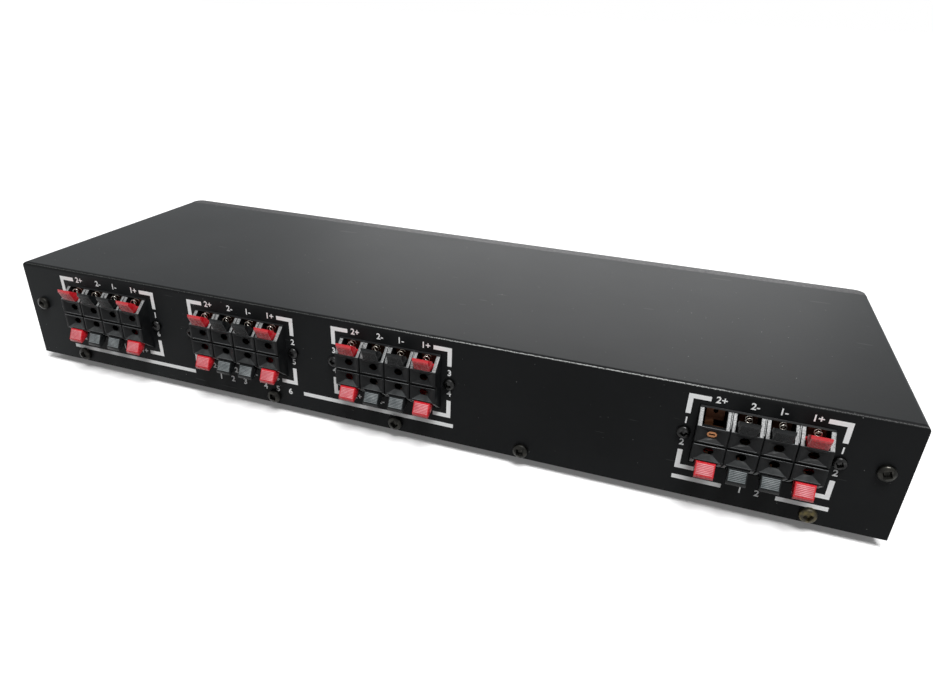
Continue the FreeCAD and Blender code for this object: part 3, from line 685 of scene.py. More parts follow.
@dataclass(frozen=True)
class TarnishAndShadeCopper:
    """Copper strip: fairly bright at the front of the block, darker deeper inside it, which is painted
    shade of the recess, with clouds of tarnish.
    """

    name: str
    bright: Triple = (0.27, 0.125, 0.06)
    # the dark colour deep inside the block: tarnish plus painted shade
    tarnish_and_shade: Triple = (0.05, 0.024, 0.015)
    dark_from: float = 5.6 * MM
    bright_to: float = 0.3 * MM
    clouds: Waves = Waves(380.0, 5.0)
    cloudy: float = 0.25
    shares: Pair = (0.1, 0.95)
    roughness: Pair = (0.52, 0.3)
    grain: Waves = Waves(2200.0, 3.0)
    depth: float = 0.006 * MM

    def make(self) -> bpy.types.Material:
        """Make the material.

        Returns:
            The finished material.
        """
        sheet = Sheet(self.name)
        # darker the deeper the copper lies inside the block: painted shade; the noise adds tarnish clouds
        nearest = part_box("contact_strips")[1].y
        front = sheet.band(sheet.place().outputs["Y"], nearest - self.dark_from,
                           nearest - self.bright_to)
        cloud = sheet.spread(sheet.noise(self.clouds), -self.cloudy, self.cloudy)
        share = sheet.band(sheet.combine("ADD", front, cloud), *self.shares)
        sheet.colour(sheet.mix(share, self.tarnish_and_shade, self.bright))
        sheet.rough(sheet.band(share, 0.0, 1.0, *self.roughness))
        sheet.set("Metallic", 1.0)
        sheet.relief(sheet.noise(self.grain), self.depth)
        return sheet.material


@dataclass(frozen=True)
class ScreenInk:
    """White screen printing, a little thin in places."""

    name: str
    base: Triple = (0.82, 0.83, 0.83)
    thin: Triple = (0.45, 0.46, 0.46)
    thinning: ScatteredMarks = ScatteredMarks(Waves(1500.0, 3.0), (0.62, 0.78), 0.35)
    patches: Waves = Waves(900.0)
    roughness: Pair = (0.42, 0.56)
    grain: Waves = Waves(4200.0)
    depth: float = 0.006 * MM

    def make(self) -> bpy.types.Material:
        """Make the material.

        Returns:
            The finished material.
        """
        sheet = Sheet(self.name)
        sheet.colour(sheet.mix(self.thinning.mask(sheet), self.base, self.thin))
        sheet.rough(sheet.spread(sheet.noise(self.patches), *self.roughness))
        sheet.relief(sheet.noise(self.grain), self.depth)
        return sheet.material


@dataclass(frozen=True)
class Laminate:
    """Brown board laminate with a faint weave."""

    name: str
    dark: Triple = (0.24, 0.15, 0.06)
    light: Triple = (0.32, 0.2, 0.09)
    weave: Waves = Waves(1800.0, 2.0, (1.0, 0.15, 1.0))
    woven: Pair = (0.35, 0.65)
    roughness: Pair = (0.4, 0.6)
    depth: float = 0.01 * MM

    def make(self) -> bpy.types.Material:
        """Make the material.

        Returns:
            The finished material.
        """
        sheet = Sheet(self.name)
        weave = sheet.noise(self.weave)
        sheet.colour(sheet.mix(sheet.band(weave, *self.woven), self.dark, self.light))
        sheet.rough(sheet.spread(weave, *self.roughness))
        sheet.relief(weave, self.depth)
        return sheet.material


@dataclass(frozen=True)
class PaleFloor:
    """The floor: pale to the eye, dim as a light on the object, and glowing white far out."""

    name: str
    dim: Triple = (0.16, 0.16, 0.16)
    pale: Triple = (0.84, 0.84, 0.84)
    paler: Triple = (0.88, 0.88, 0.88)
    clouds: Waves = Waves(0.6)
    glow_from: float = 0.25
    glow_to: float = 0.9
    glow: Pair = (0.12, 0.95)
    roughness: float = 0.9
    gloss: float = 0.1

    def make(self) -> bpy.types.Material:
        """Make the material.

        Returns:
            The finished material.
        """
        sheet = Sheet(self.name)
        path = sheet.node("ShaderNodeLightPath")
        seen = path.outputs["Is Camera Ray"]
        for ray in ("Is Glossy Ray", "Is Transmission Ray"):
            seen = sheet.combine("MAXIMUM", seen, path.outputs[ray])
        clouds = sheet.mix(sheet.noise(self.clouds), self.pale, self.paler)
        sheet.colour(sheet.mix(seen, self.dim, clouds))
        length = sheet.node("ShaderNodeVectorMath", operation="LENGTH")
        sheet.link(sheet.coordinates, length.inputs[0])
        glow = sheet.band(length.outputs["Value"], self.glow_from, self.glow_to, *self.glow)
        sheet.link(sheet.combine("MULTIPLY", glow, seen), sheet.shader.inputs["Emission Strength"])
        sheet.set("Emission Color", WHITE)
        sheet.rough(self.roughness)
        sheet.set("Specular IOR Level", self.gloss)
        return sheet.material


class Finishes:
    """Every finish of the object, by the record's material slot."""

    def __init__(self) -> None:
        """Make each material once."""
        wanted = {**self.plastics(), **self.metals()}
        wanted["case_paint"] = PowderCoat("case_paint_worn", worn=True)
        wanted["tray_paint"] = PowderCoat("tray_paint_black")
        wanted["board_laminate"] = Laminate("board_laminate_brown")
        self.by_slot = {slot: finish.make() for slot, finish in wanted.items()}
        self.ink = ScreenInk("print_white").make()
        # the sloping walls: mould texture in a light grey that is a painted highlight
        self.wall_texture_highlight = WallTextureAndHighlight("block_plastic_textured").make()
        # Lighter grey, glossier plastic on the up-facing front lips: a painted highlight line
        self.edges = MouldedPlastic(
            "block_plastic_edge", (0.06, 0.063, 0.065), (0.11, 0.115, 0.118), 0.35,
            grain=5200.0, gloss=0.6).make()
        # Lighter plastic on the bottom row's up-facing funnel slopes: painted light from above, with a
        # coarser grain
        self.funnel_painted_light = MouldedPlastic(
            "block_plastic_scuffed", (0.016, 0.0175, 0.018), (0.038, 0.041, 0.042), 0.42,
            grain=2600.0, depth=0.02 * MM, gloss=0.2).make()
        # Lighter copies of the lever colours for the bottom row's ribs: a painted highlight on the lit rib
        # crests
        self.rib_highlight = {
            Tone.RED: MouldedPlastic(
                "lever_red_rubbed", (0.54, 0.14, 0.16), (0.62, 0.26, 0.28), 0.4,
                grain=4200.0, depth=0.008 * MM).make(),
            Tone.BLACK: MouldedPlastic(
                "lever_black_rubbed", (0.105, 0.12, 0.125), (0.2, 0.22, 0.225), 0.4,
                grain=4200.0, depth=0.008 * MM).make(),
        }
        self.dark_screw = Metal("cover_screw_dark", (0.03, 0.029, 0.026), (0.014, 0.014, 0.013),
                                0.26, stained=0.5).make()

    def plastics(self) -> dict[str, MouldedPlastic]:
        """List the plastic and rubber finishes.

        Returns:
            Each finish by the record's material slot.
        """
        return {
            "front_moulding": MouldedPlastic(
                "front_moulding_black", (0.018, 0.018, 0.02), (0.024, 0.024, 0.026), 0.42,
                grain=5000.0, depth=0.01 * MM, gloss=0.12),
            "block_plastic": MouldedPlastic(
                "block_plastic_black", (0.0055, 0.006, 0.0065), (0.0085, 0.009, 0.0095), 0.36,
                grain=5200.0, gloss=0.1),
            "lever_red": MouldedPlastic(
                "lever_red_plastic", (0.48, 0.01, 0.018), (0.5, 0.012, 0.02), 0.26,
                grain=4200.0, depth=0.004 * MM),
            "lever_black": MouldedPlastic(
                "lever_black_plastic", (0.0055, 0.0065, 0.007), (0.007, 0.008, 0.0085), 0.3,
                grain=4200.0, depth=0.004 * MM, gloss=0.18),
            "foot_rubber": MouldedPlastic(
                "foot_rubber_matt", (0.016, 0.016, 0.016), (0.03, 0.03, 0.03), 0.75,
                grain=3000.0, depth=0.03 * MM, gloss=0.3),
            "switch_plastic": MouldedPlastic(
                "switch_plastic_pale", (0.5, 0.5, 0.48), (0.58, 0.58, 0.55), 0.4),
            "header_plastic": MouldedPlastic(
                "header_plastic_natural", (0.68, 0.65, 0.56), (0.75, 0.72, 0.64), 0.38),
            "loom_insulation": MouldedPlastic(
                "loom_insulation_grey", (0.3, 0.3, 0.31), (0.38, 0.38, 0.39), 0.5),
            "button_plastic": MouldedPlastic(
                "button_plastic_black", (0.014, 0.014, 0.015), (0.02, 0.02, 0.021), 0.26,
                grain=5000.0, depth=0.006 * MM),
        }

    def metals(self) -> dict[str, Metal | TarnishAndShadeCopper]:
        """List the bare and plated metal finishes.

        Returns:
            Each finish by the record's material slot.
        """
        return {
            "contact_copper": TarnishAndShadeCopper("contact_copper_tarnished"),
            "spring_steel": Metal("spring_steel_plated", (0.52, 0.5, 0.46), (0.3, 0.25, 0.2), 0.24),
            "terminal_screw_black": Metal(
                "terminal_screw_blackened", (0.032, 0.032, 0.032), (0.014, 0.014, 0.014), 0.22,
                stained=0.55),
            "cover_screw_zinc": Metal(
                "cover_screw_yellowed", (0.085, 0.07, 0.032), (0.035, 0.032, 0.025), 0.3,
                stained=0.5),
            "standoff_brass": Metal(
                "standoff_brass_turned", (0.72, 0.53, 0.24), (0.4, 0.28, 0.12), 0.25,
                stained=0.7, lines=Waves(2400.0, 3.0, (1.0, 1.0, 8.0))),
            "inner_screw_steel": Metal(
                "inner_screw_zinc", (0.62, 0.62, 0.6), (0.4, 0.4, 0.38), 0.28, stained=0.7),
        }

    def dress(self, piece: bpy.types.Object, material: bpy.types.Material) -> None:
        """Give a piece one material and no other."""
        piece.data.materials.clear()
        piece.data.materials.append(material)

    def dress_nodes(self) -> None:
        """Give every CAD node the finish of its slot."""
        slots = {part["node"]: part["material_slot"] for part in frame["record"]["subparts"]}
        for name, node in frame["nodes"].items():
            if node.data.materials:
                node.data.materials[0] = self.by_slot[slots[name]]
            else:
                node.data.materials.append(self.by_slot[slots[name]])
            log.info("node %s wears %s", name, slots[name])


# Terminal blocks, their levers and their springs


@dataclass
class TerminalBlocks:
    """The four terminal blocks' mouldings with eased edges."""

    finishes: Finishes
    edge: float = 0.14 * MM
    smooth_to: float = 30.0
    slope: Triple = (0.0, 0.655, 0.755)
    slope_match: float = 0.985
    face_half: float = 7.9 * MM
    lip: Triple = (0.0, 1.0, 1.0)
    lip_match: float = 0.86
    lip_reach: float = 6.45 * MM
    funnel: Triple = (0.0, 0.7844, 0.6202)
    funnel_heights: Pair = (5.0 * MM, 7.5 * MM)
    names: tuple[str, ...] = ("1_6", "2_5", "3_4", "input")

    def build(self) -> None:
        """Replace each block's plain node by one with eased edges."""
        for name in self.names:
            node = "terminal_block_" + name
            piece = solid_from_node(node, "moulding_" + name, self.edge)
            self.finishes.dress(piece, self.finishes.by_slot["block_plastic"])
            for finish in (self.finishes.wall_texture_highlight, self.finishes.edges, self.finishes.funnel_painted_light):
                piece.data.materials.append(finish)
            self.texture(piece)
            smooth_by_angle(piece, self.smooth_to)
            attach(piece, CASE_BODY)
            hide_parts(node)
            log.info("built %s", piece.name)

    def texture(self, piece: bpy.types.Object) -> None:
        """Give the walls, the front lips and the lower funnels' slopes lighter finishes of their own:
        painted highlights on the walls and lips, painted light from above on the funnels.

        Args:
            piece: The block's moulding.
        """
        low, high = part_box("terminal_block_input")
        middle = (low.z + high.z) / 2.0
        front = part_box(PANEL_NODE)[1].y + self.lip_reach
        lip = Vector(self.lip).normalized()
        funnel = Vector(self.funnel)
        nearest, farthest = self.funnel_heights
        for face in piece.data.polygons:
            height = face.center.z - middle
            side = math.copysign(1.0, height)
            # up-facing front lips get the painted highlight finish
            if face.center.y > front and face.normal.dot(lip) > self.lip_match:
                face.material_index = BlockSkin.LIP
            # the bottom row's up-facing funnel slopes get the painted light finish
            on_funnel = face.normal.dot(funnel) > self.slope_match
            if on_funnel and -farthest < height < -nearest:
                face.material_index = BlockSkin.FUNNEL
            # sloping walls get the painted highlight finish
            slope = Vector((self.slope[0], self.slope[1], self.slope[2] * side))
            if face.normal.dot(slope) > self.slope_match and abs(height) > self.face_half:
                face.material_index = BlockSkin.WALL


@dataclass
class Levers:
    """The spring levers: the CAD lever with eased edges and a ribbed grip."""

    finishes: Finishes
    edge: float = 0.22 * MM
    smooth_to: float = 35.0
    ribs: int = 7
    rib_width: float = 0.46 * MM
    rib_height: float = 0.2 * MM
    rib_round: float = 0.34
    border: float = 0.45 * MM
    grip_base: Pair = (8.35 * MM, 7.1 * MM)
    grip_end: Pair = (13.4 * MM, 9.5 * MM)
    tip_beyond: float = 1.4 * MM
    half_width: float = 3.75 * MM
    master_node: str = "lever_speaker_3_left_plus"

    def build(self) -> None:
        """Model one lever, and set a copy in the place of every lever node."""
        master = self.master()
        low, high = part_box(self.master_node)
        centre = (low + high) / 2.0
        for name in sorted(frame["nodes"]):
            if not name.startswith("lever_") or name == "lever_springs":
                continue
            row = Row.of_lever(name)
            tone = Tone.RED if name.endswith("plus") else Tone.BLACK
            node_low, node_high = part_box(name)
            node_centre = (node_low + node_high) / 2.0
            turn = Matrix.Identity(4) if row is Row.TOP else Matrix.Rotation(math.pi, 4, "Y")
            place = Matrix.Translation(node_centre) @ turn @ Matrix.Translation(-centre)
            piece = own_copy(master, name.replace("lever_", "grip_"), place)
            plain = self.finishes.by_slot[tone.value]
            # bottom-row ribs face the light and get the painted highlight colour; top-row ribs keep the
            # plain colour
            ribs = self.finishes.rib_highlight[tone] if row is Row.BOTTOM else plain
            piece.data.materials[LeverSkin.BODY] = plain
            piece.data.materials[LeverSkin.RIBS] = ribs
            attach(piece, name)
            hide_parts(name)
            log.info("built %s", piece.name)
        bpy.data.objects.remove(master)

    def master(self) -> bpy.types.Object:
        """Model one lever with its ribs.

        Returns:
            The finished master lever, at the place of its node.
        """
        body = solid_from_node(self.master_node, "lever_master", self.edge)
        low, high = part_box(self.master_node)
        rise = self.grip_end[0] - self.grip_base[0]
        reach = self.grip_end[1] - self.grip_base[1]
        slant = math.atan2(reach, rise)
        usable = math.hypot(rise, reach) - 2.0 * self.border
        end = Vector(((low.x + high.x) / 2.0, high.y, high.z - self.tip_beyond))
        along = Vector((0.0, reach, rise)).normalized()
        body.data.materials.append(self.finishes.rib_highlight[Tone.RED])
        pieces = [body]
        for number in range(self.ribs):
            at = end - along * (self.border + usable * (number + 0.5) / self.ribs)
            pieces.append(self.rib(at, slant))
        lever = join(pieces, "lever_master")
        smooth_by_angle(lever, self.smooth_to)
        return lever

    def rib(self, at: Vector, slant: float) -> bpy.types.Object:
        """Return one grip rib: a low bar with a rounded crest.

        Args:
            at: The middle of its foot on the grip face.
            slant: The lean of the grip face from upright.

        Returns:
            The rib.
        """
        width = 2.0 * (self.half_width - self.border)
        bpy.ops.mesh.primitive_cube_add(size=1.0)
        bar = bpy.context.object
        bar.scale = (width, 2.0 * self.rib_height, self.rib_width)
        settle(bar)
        bpy.ops.object.mode_set(mode="EDIT")
        pick_faces(bar, lambda face: face.normal.y > FACING)
        bpy.ops.mesh.bevel(offset=self.rib_width * self.rib_round, segments=2, affect="EDGES")
        bpy.ops.object.mode_set(mode="OBJECT")
        bar.data.transform(Matrix.Translation(at) @ Matrix.Rotation(-slant, 4, "X"))
        bar.data.materials.append(self.finishes.rib_highlight[Tone.RED])
        return bar


@dataclass
class ReturnSprings:
    """The coil spring behind each lever, set in the case; its model does not shorten as its lever is
    pressed.
    """

    finishes: Finishes
    turns: float = 2.25
    wire: float = 0.18 * MM
    radius: float = 1.32 * MM
    seat: float = -1.1 * MM
    stop: float = 3.8 * MM
    wire_sides: int = 10
    steps: int = 24
    smooth_to: float = 50.0
    pressed: float = 0.94
    pivot_to_axis: float = 2.22 * MM
    pivot_reach: float = 3.2 * MM

    def build(self) -> None:
        """Wind one spring, and set a copy behind every lever."""
        master = self.wind()
        pressings = [joint for joint in frame["joints"] if joint["child"].startswith("lever_")]
        for number, joint in enumerate(pressings):
            side = joint["axis"][0]
            across = Vector((0.0, self.seat - self.pivot_reach, side * self.pivot_to_axis))
            seat = Vector(joint["pos_m"]) + across
            turn = Matrix.Identity(4) if side > 0 else Matrix.Rotation(math.pi, 4, "Y")
            name = joint["child"].replace("lever_", "spring_")
            piece = own_copy(master, name, Matrix.Translation(seat) @ turn)
            self.finishes.dress(piece, self.finishes.by_slot["spring_steel"])
            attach(piece, CASE_BODY)
            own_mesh(piece)
            if number == 0:
                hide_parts("lever_springs")
            log.info("built %s", piece.name)
        bpy.data.objects.remove(master)

    def wind(self) -> bpy.types.Object:
        """Wind one spring.

        Returns:
            The spring, which stands on the origin along Y.
        """
        deselect()
        bpy.ops.mesh.primitive_circle_add(vertices=self.wire_sides, radius=self.wire,
                                          location=(0.0, 0.0, self.radius),
                                          rotation=(0.0, QUARTER_TURN, 0.0))
        coil = settle(bpy.context.object)
        length = self.stop - self.seat - 2.0 * self.wire
        steps = int(self.steps * self.turns)
        coil.data.transform(Matrix.Rotation(-QUARTER_TURN, 4, "X"))
        finish_with(coil, "SCREW", axis="Z", angle=2.0 * math.pi * self.turns, screw_offset=length,
                    steps=steps, render_steps=steps, use_merge_vertices=False)
        coil.data.transform(Matrix.Rotation(-QUARTER_TURN, 4, "X"))
        low = min(vertex.co.y for vertex in coil.data.vertices)
        coil.data.transform(Matrix.Translation((0.0, -low, 0.0)))
        take(coil)
        bpy.ops.object.mode_set(mode="EDIT")
        bpy.ops.mesh.select_all(action="SELECT")
        bpy.ops.mesh.fill_holes(sides=self.wire_sides)
        bpy.ops.mesh.normals_make_consistent(inside=False)
        bpy.ops.object.mode_set(mode="OBJECT")
        smooth_by_angle(coil, self.smooth_to)
        return coil


# Screws


@dataclass(frozen=True)
class PanScrew:
    """A pan head screw with a cross recess."""

    head_radius: float
    head_height: float
    shank_radius: float
    shank_length: float
    recess_half: float
    recess_width: float
    recess_depth: float
    recess_floor: float = 0.45
    sides: int = 32
    rim: float = 0.5
    rings: int = 4
    dome: float = math.radians(62.0)
    smooth_to: float = 38.0

    def model(self) -> bpy.types.Object:
        """Model the screw.

        Returns:
            The screw, its head on the XZ plane and looking along +Y.
        """
        deselect()
        rim = self.head_height * self.rim
        bpy.ops.mesh.primitive_cylinder_add(vertices=self.sides, radius=self.head_radius, depth=rim,
                                            location=(0.0, 0.0, rim / 2.0))
        head = settle(bpy.context.object)
        bpy.ops.object.mode_set(mode="EDIT")
        self.raise_dome(head, rim)
        pick_faces(head, lambda face: face.normal.z < -SQUARE_ON)
        bpy.ops.mesh.inset(thickness=self.head_radius - self.shank_radius, depth=0.0)
        bpy.ops.mesh.extrude_region_move()
        bpy.ops.transform.translate(value=(0.0, 0.0, -self.shank_length))
        bpy.ops.object.mode_set(mode="OBJECT")
        self.cut_recess(head)
        smooth_by_angle(head, self.smooth_to)
        head.data.transform(Matrix.Rotation(-QUARTER_TURN, 4, "X"))
        return head

    def raise_dome(self, head: bpy.types.Object, rim: float) -> None:
        """Raise the dome of a head, ring by ring, in edit mode.

        Args:
            head: The screw, so far a cylinder.
            rim: The height of that cylinder.
        """
        top = rim
        for step in range(1, self.rings + 1):
            angle = step / self.rings * self.dome
            below = (step - 1) / self.rings * self.dome
            shrink = math.cos(angle) / math.cos(below)
            rise = math.sin(angle) / math.sin(self.dome)
            pick_faces(head, lambda face: face.normal.z > SQUARE_ON
                       and face.calc_center_median().z > top - TOUCHING)
            bpy.ops.mesh.extrude_region_move()
            lift = rim * (1.0 + rise) - top
            bpy.ops.transform.translate(value=(0.0, 0.0, lift))
            bpy.ops.transform.resize(value=(shrink, shrink, 1.0), center_override=(0.0, 0.0, 0.0))
            top += lift

    def cut_recess(self, head: bpy.types.Object) -> None:
        """Cut the cross recess out of a head.

        Args:
            head: The screw to cut.
        """
        bpy.ops.mesh.primitive_cube_add(size=1.0)
        cutter = bpy.context.object
        cutter.scale = (self.recess_width, self.recess_width, 2.0 * self.recess_depth)
        cutter.location = (0.0, 0.0, self.head_height)
        settle(cutter)
        bpy.ops.object.mode_set(mode="EDIT")
        for axis, sign in ((0, 1), (0, -1), (1, 1), (1, -1)):
            pick_faces(cutter, lambda face: face.normal[axis] * sign > FACING
                       and abs(face.calc_center_median()[axis]) < self.recess_width)
            bpy.ops.mesh.extrude_region_move()
            move = [0.0, 0.0, 0.0]
            move[axis] = sign * (self.recess_half - self.recess_width / 2.0)
            bpy.ops.transform.translate(value=move)
        pick_faces(cutter, lambda face: face.normal.z < -FACING)
        bpy.ops.transform.resize(value=(self.recess_floor, self.recess_floor, 1.0),
                                 center_override=(0.0, 0.0, 0.0))
        bpy.ops.object.mode_set(mode="OBJECT")
        finish_with(head, "BOOLEAN", operation="DIFFERENCE", object=cutter, solver="EXACT")
        bpy.data.objects.remove(cutter)


@dataclass
class RearScrews:
    """All screws of the rear panel."""

    finishes: Finishes
    small: PanScrew = PanScrew(
        head_radius=2.75 * MM, head_height=2.0 * MM, shank_radius=1.48 * MM,
        shank_length=6.9 * MM, recess_half=1.7 * MM, recess_width=0.66 * MM,
        recess_depth=1.2 * MM)
    large: PanScrew = PanScrew(
        head_radius=3.5 * MM, head_height=2.4 * MM, shank_radius=1.72 * MM,
        shank_length=6.4 * MM, recess_half=2.2 * MM, recess_width=0.85 * MM,
        recess_depth=1.5 * MM)
    yellowed: int = 1
    first_turn: float = 23.0
    next_turn: float = 37.0

    def build(self) -> None:
        """Replace the plain screws of both sizes."""
        self.place(self.small.model(), "terminal_screws", "terminal_screw_black")
        self.place(self.large.model(), "cover_screws", "cover_screw_zinc")

    def place(self, master: bpy.types.Object, node: str, slot: str) -> None:
        """Set a copy of a screw at each place, turned a little differently.

        Args:
            master: The finished screw.
            node: The CAD node that it stands for.
            slot: The record's material slot.
        """
        for number, centre in enumerate(self.centres(node)):
            turn = Matrix.Rotation(math.radians(self.first_turn + self.next_turn * number), 4, "Y")
            piece = own_copy(master, "%s_%d" % (node[:-1], number + 1),
                             Matrix.Translation(centre) @ turn)
            material = self.finishes.by_slot[slot]
            if node == "cover_screws" and number != self.yellowed:
                material = self.finishes.dark_screw
            self.finishes.dress(piece, material)
            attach(piece, CASE_BODY)
            if number == 0:
                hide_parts(node)
            log.info("built %s", piece.name)
        bpy.data.objects.remove(master)

    def centres(self, node: str) -> list[Vector]:
        """Return where the screws of a node sit.

        Args:
            node: The CAD node that holds the screws.

        Returns:
            The middle of each screw in X and Z, on the rear panel's face.
        """
        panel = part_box(PANEL_NODE)[1].y
        found = []
        for points in self.separate(node):
            across = [point.x for point in points]
            heights = [point.z for point in points]
            found.append(Vector(((min(across) + max(across)) / 2.0, panel,
                                 (min(heights) + max(heights)) / 2.0)))
        return sorted(found, key=lambda place: (round(place.x, 5), place.z))

    def separate(self, node: str) -> list[list[Vector]]:
        """Return the corners of each separate solid of a node.

        Args:
            node: The CAD node that holds the solids.

        Returns:
            One list of corners for each solid.
        """
        mesh = bmesh.new()
        mesh.from_mesh(frame["nodes"][node].data)
        bmesh.ops.remove_doubles(mesh, verts=mesh.verts, dist=MERGE_WITHIN)
        left = set(mesh.verts)
        solids = []
        while left:
            stack = [left.pop()]
            solid = list(stack)
            while stack:
                for edge in stack.pop().link_edges:
                    for vertex in left.intersection(edge.verts):
                        left.remove(vertex)
                        stack.append(vertex)
                        solid.append(vertex)
            solids.append([vertex.co.copy() for vertex in solid])
        mesh.free()
        return solids


# Printing


@dataclass(frozen=True)
class Rule:
    """A printed rule: its ends, measured from the case's end, and its height, in millimetres."""

    name: str
    start: float
    stop: float
    height: float


@dataclass(frozen=True)
class Legend:
    """A line of plain numbers: its middle, measured from the case's end, and its height in millimetres."""

    words: str
    name: str
    across: float
    height: float


@dataclass(frozen=True)
class Mark:
    """A channel and polarity mark: its place beside the block's middle, in millimetres."""

    words: str
    place: float


@dataclass
class PanelPrint:
    """White printing: corner frames, rules, plain numbers and polarity marks."""

    finishes: Finishes
    ink: float = 0.03 * MM
    line: float = 2.0 * MM
    soft_corner: float = 0.12 * MM
    frame_width: float = 59.93 * MM
    frame_height: float = 36.09 * MM
    frame_top: float = 54.28 * MM
    frame_arm: float = 8.7 * MM
    frame_upright: float = 9.2 * MM
    frame_meet: float = 0.98
    mark_rise: float = 17.05 * MM
    marks: tuple[Mark, ...] = (Mark("1+", -17.6), Mark("1-", -5.4), Mark("2-", 4.9), Mark("2+", 17.4))
    number_rise: float = 5.3 * MM
    number_inset: float = 0.45
    numbers: tuple[tuple[str, str, str], ...] = (
        ("1_6", "1", "6"), ("2_5", "2", "5"), ("3_4", "3", "4"), ("input", "1", "2"),
    )
    rules: tuple[Rule, ...] = (
        Rule("output_left", 23.8, 103.4, 8.3), Rule("output_right", 167.7, 246.4, 9.0),
        Rule("input_left", 345.3, 365.3, 8.7), Rule("input_right", 386.6, 406.5, 8.5),
    )
    legend_height: float = 8.6 * MM
    legends: tuple[Legend, ...] = (
        Legend("1    2    3", "outputs_low", 126.5, 3.3),
        Legend("4    5    6", "outputs_high", 153.0, 3.3),
        Legend("1    2", "inputs", 376.0, 3.0),
    )
    letter_height: float = 3.0 * MM
    letter_swell: float = 0.06 * MM
    front_rise: float = 4.0 * MM
    curve_steps: int = 3
    pieces: list[tuple[bpy.types.Object, str]] = field(default_factory=list)

    @property
    def panel(self) -> float:
        """Return the Y of the rear panel's face."""
        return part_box(PANEL_NODE)[1].y

    def build(self) -> None:
        """Print the rear panel and the front panel."""
        for name, top, bottom in self.numbers:
            self.print_block(name, top, bottom)
        self.print_rules()
        self.print_front()
        groups = {}
        for piece, group in self.pieces:
            groups.setdefault(group, []).append(piece)
        for group, members in groups.items():
            piece = join(members, group)
            self.finishes.dress(piece, self.finishes.ink)
            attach(piece, CASE_BODY)
            log.info("printed %s", piece.name)

    def print_block(self, name: str, top: str, bottom: str) -> None:
        """Print the frame, the marks and the numbers round one block.

        Args:
            name: The block's name.
            top: The number of its top row.
            bottom: The number of its bottom row.
        """
        low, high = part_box("terminal_block_" + name)
        centre = (low.x + high.x) / 2.0
        middle = (low.z + high.z) / 2.0
        self.corner_frame(centre, name)
        self.polarity(centre, middle, name)
        for side in (-1, 1):
            x = centre + side * (self.frame_width / 2.0 - self.line * self.number_inset)
            self.text(top, "number_%s_%d_top" % (name, side), x, middle + self.number_rise)
            self.text(bottom, "number_%s_%d_low" % (name, side), x, middle - self.number_rise)

    def bar(self, name: str, ends: Pair, heights: Pair) -> bpy.types.Object:
        """Return a printed bar on the rear panel, with slightly soft corners.

        Args:
            name: Name of the bar.
            ends: X of its two ends, in either order.
            heights: Its lower and its upper height.

        Returns:
            The bar.
        """
        left, right = sorted(ends)
        low, high = heights
        deselect()
        bpy.ops.mesh.primitive_plane_add(size=1.0)
        bar = bpy.context.object
        bar.name = name
        bar.scale = (right - left, high - low, 1.0)
        bar.rotation_euler = (-QUARTER_TURN, 0.0, 0.0)
        bar.location = ((left + right) / 2.0, self.panel + self.ink, (low + high) / 2.0)
        settle(bar)
        bpy.ops.object.mode_set(mode="EDIT")
        bpy.ops.mesh.select_all(action="SELECT")
        bpy.ops.mesh.bevel(offset=self.soft_corner, segments=2, affect="VERTICES")
        bpy.ops.mesh.select_all(action="SELECT")
        bpy.ops.mesh.extrude_region_move()
        bpy.ops.transform.translate(value=(0.0, -self.ink, 0.0))
        bpy.ops.mesh.select_all(action="SELECT")
        bpy.ops.mesh.normals_make_consistent(inside=False)
        bpy.ops.object.mode_set(mode="OBJECT")
        return bar

    def corner_frame(self, centre: float, name: str) -> None:
        """Print the broken frame round a block.

        Args:
            centre: X of the block's middle.
            name: The block's name.
        """
        half = self.frame_width / 2.0
        top = self.frame_top
        low = top - self.frame_height
        meet = self.line * self.frame_meet
        group = "frame_" + name
        for side in (-1, 1):
            edge = centre + side * half
            arm = (edge, centre + side * (half - self.frame_arm))
            upright = (edge, centre + side * (half - self.line))
            for ends, heights in (
                (arm, (top - self.line, top)),
                (arm, (low, low + self.line)),
                (upright, (top - self.frame_upright, top - meet)),
                (upright, (low + meet, low + self.frame_upright)),
            ):
                self.pieces.append((self.bar(group, ends, heights), group))

    def polarity(self, centre: float, middle: float, name: str) -> None:
        """Print the channel and polarity mark of each terminal above and below a block.

        Args:
            centre: X of the block's middle.
            middle: Height of the block's middle.
            name: The block's name.
        """
        for mark in self.marks:
            word = mark.words.replace("+", "p").replace("-", "m")
            for row in Row:
                label = "mark_%s_%s_%s" % (name, row.name.lower(), word)
                self.text(mark.words, label, centre + mark.place * MM,
                          middle + row.value * self.mark_rise, "marks_" + name)

    def print_rules(self) -> None:
        """Print the rules and plain numbers under the output blocks and under the input block."""
        low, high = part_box(PANEL_NODE)
        for rule in self.rules:
            height = low.z + rule.height * MM
            bar = self.bar("rule_" + rule.name, (high.x - rule.stop * MM, high.x - rule.start * MM),
                           (height - self.line / 2.0, height + self.line / 2.0))
            self.pieces.append((bar, "rules"))
        for legend in self.legends:
            self.text(legend.words, legend.name, high.x - legend.across * MM,
                      low.z + self.legend_height, "rules", height=legend.height * MM)

    def print_front(self) -> None:
        """Print a plain number over each speaker button and two over the selector."""
        for name in sorted(frame["nodes"]):
            if not name.startswith("button_"):
                continue
            low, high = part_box(name)
            words = "1-2" if name == "button_select" else name[-1]
            self.text(words, "front_" + name, (low.x + high.x) / 2.0, high.z + self.front_rise,
                      "front_marks", Panel.FRONT)

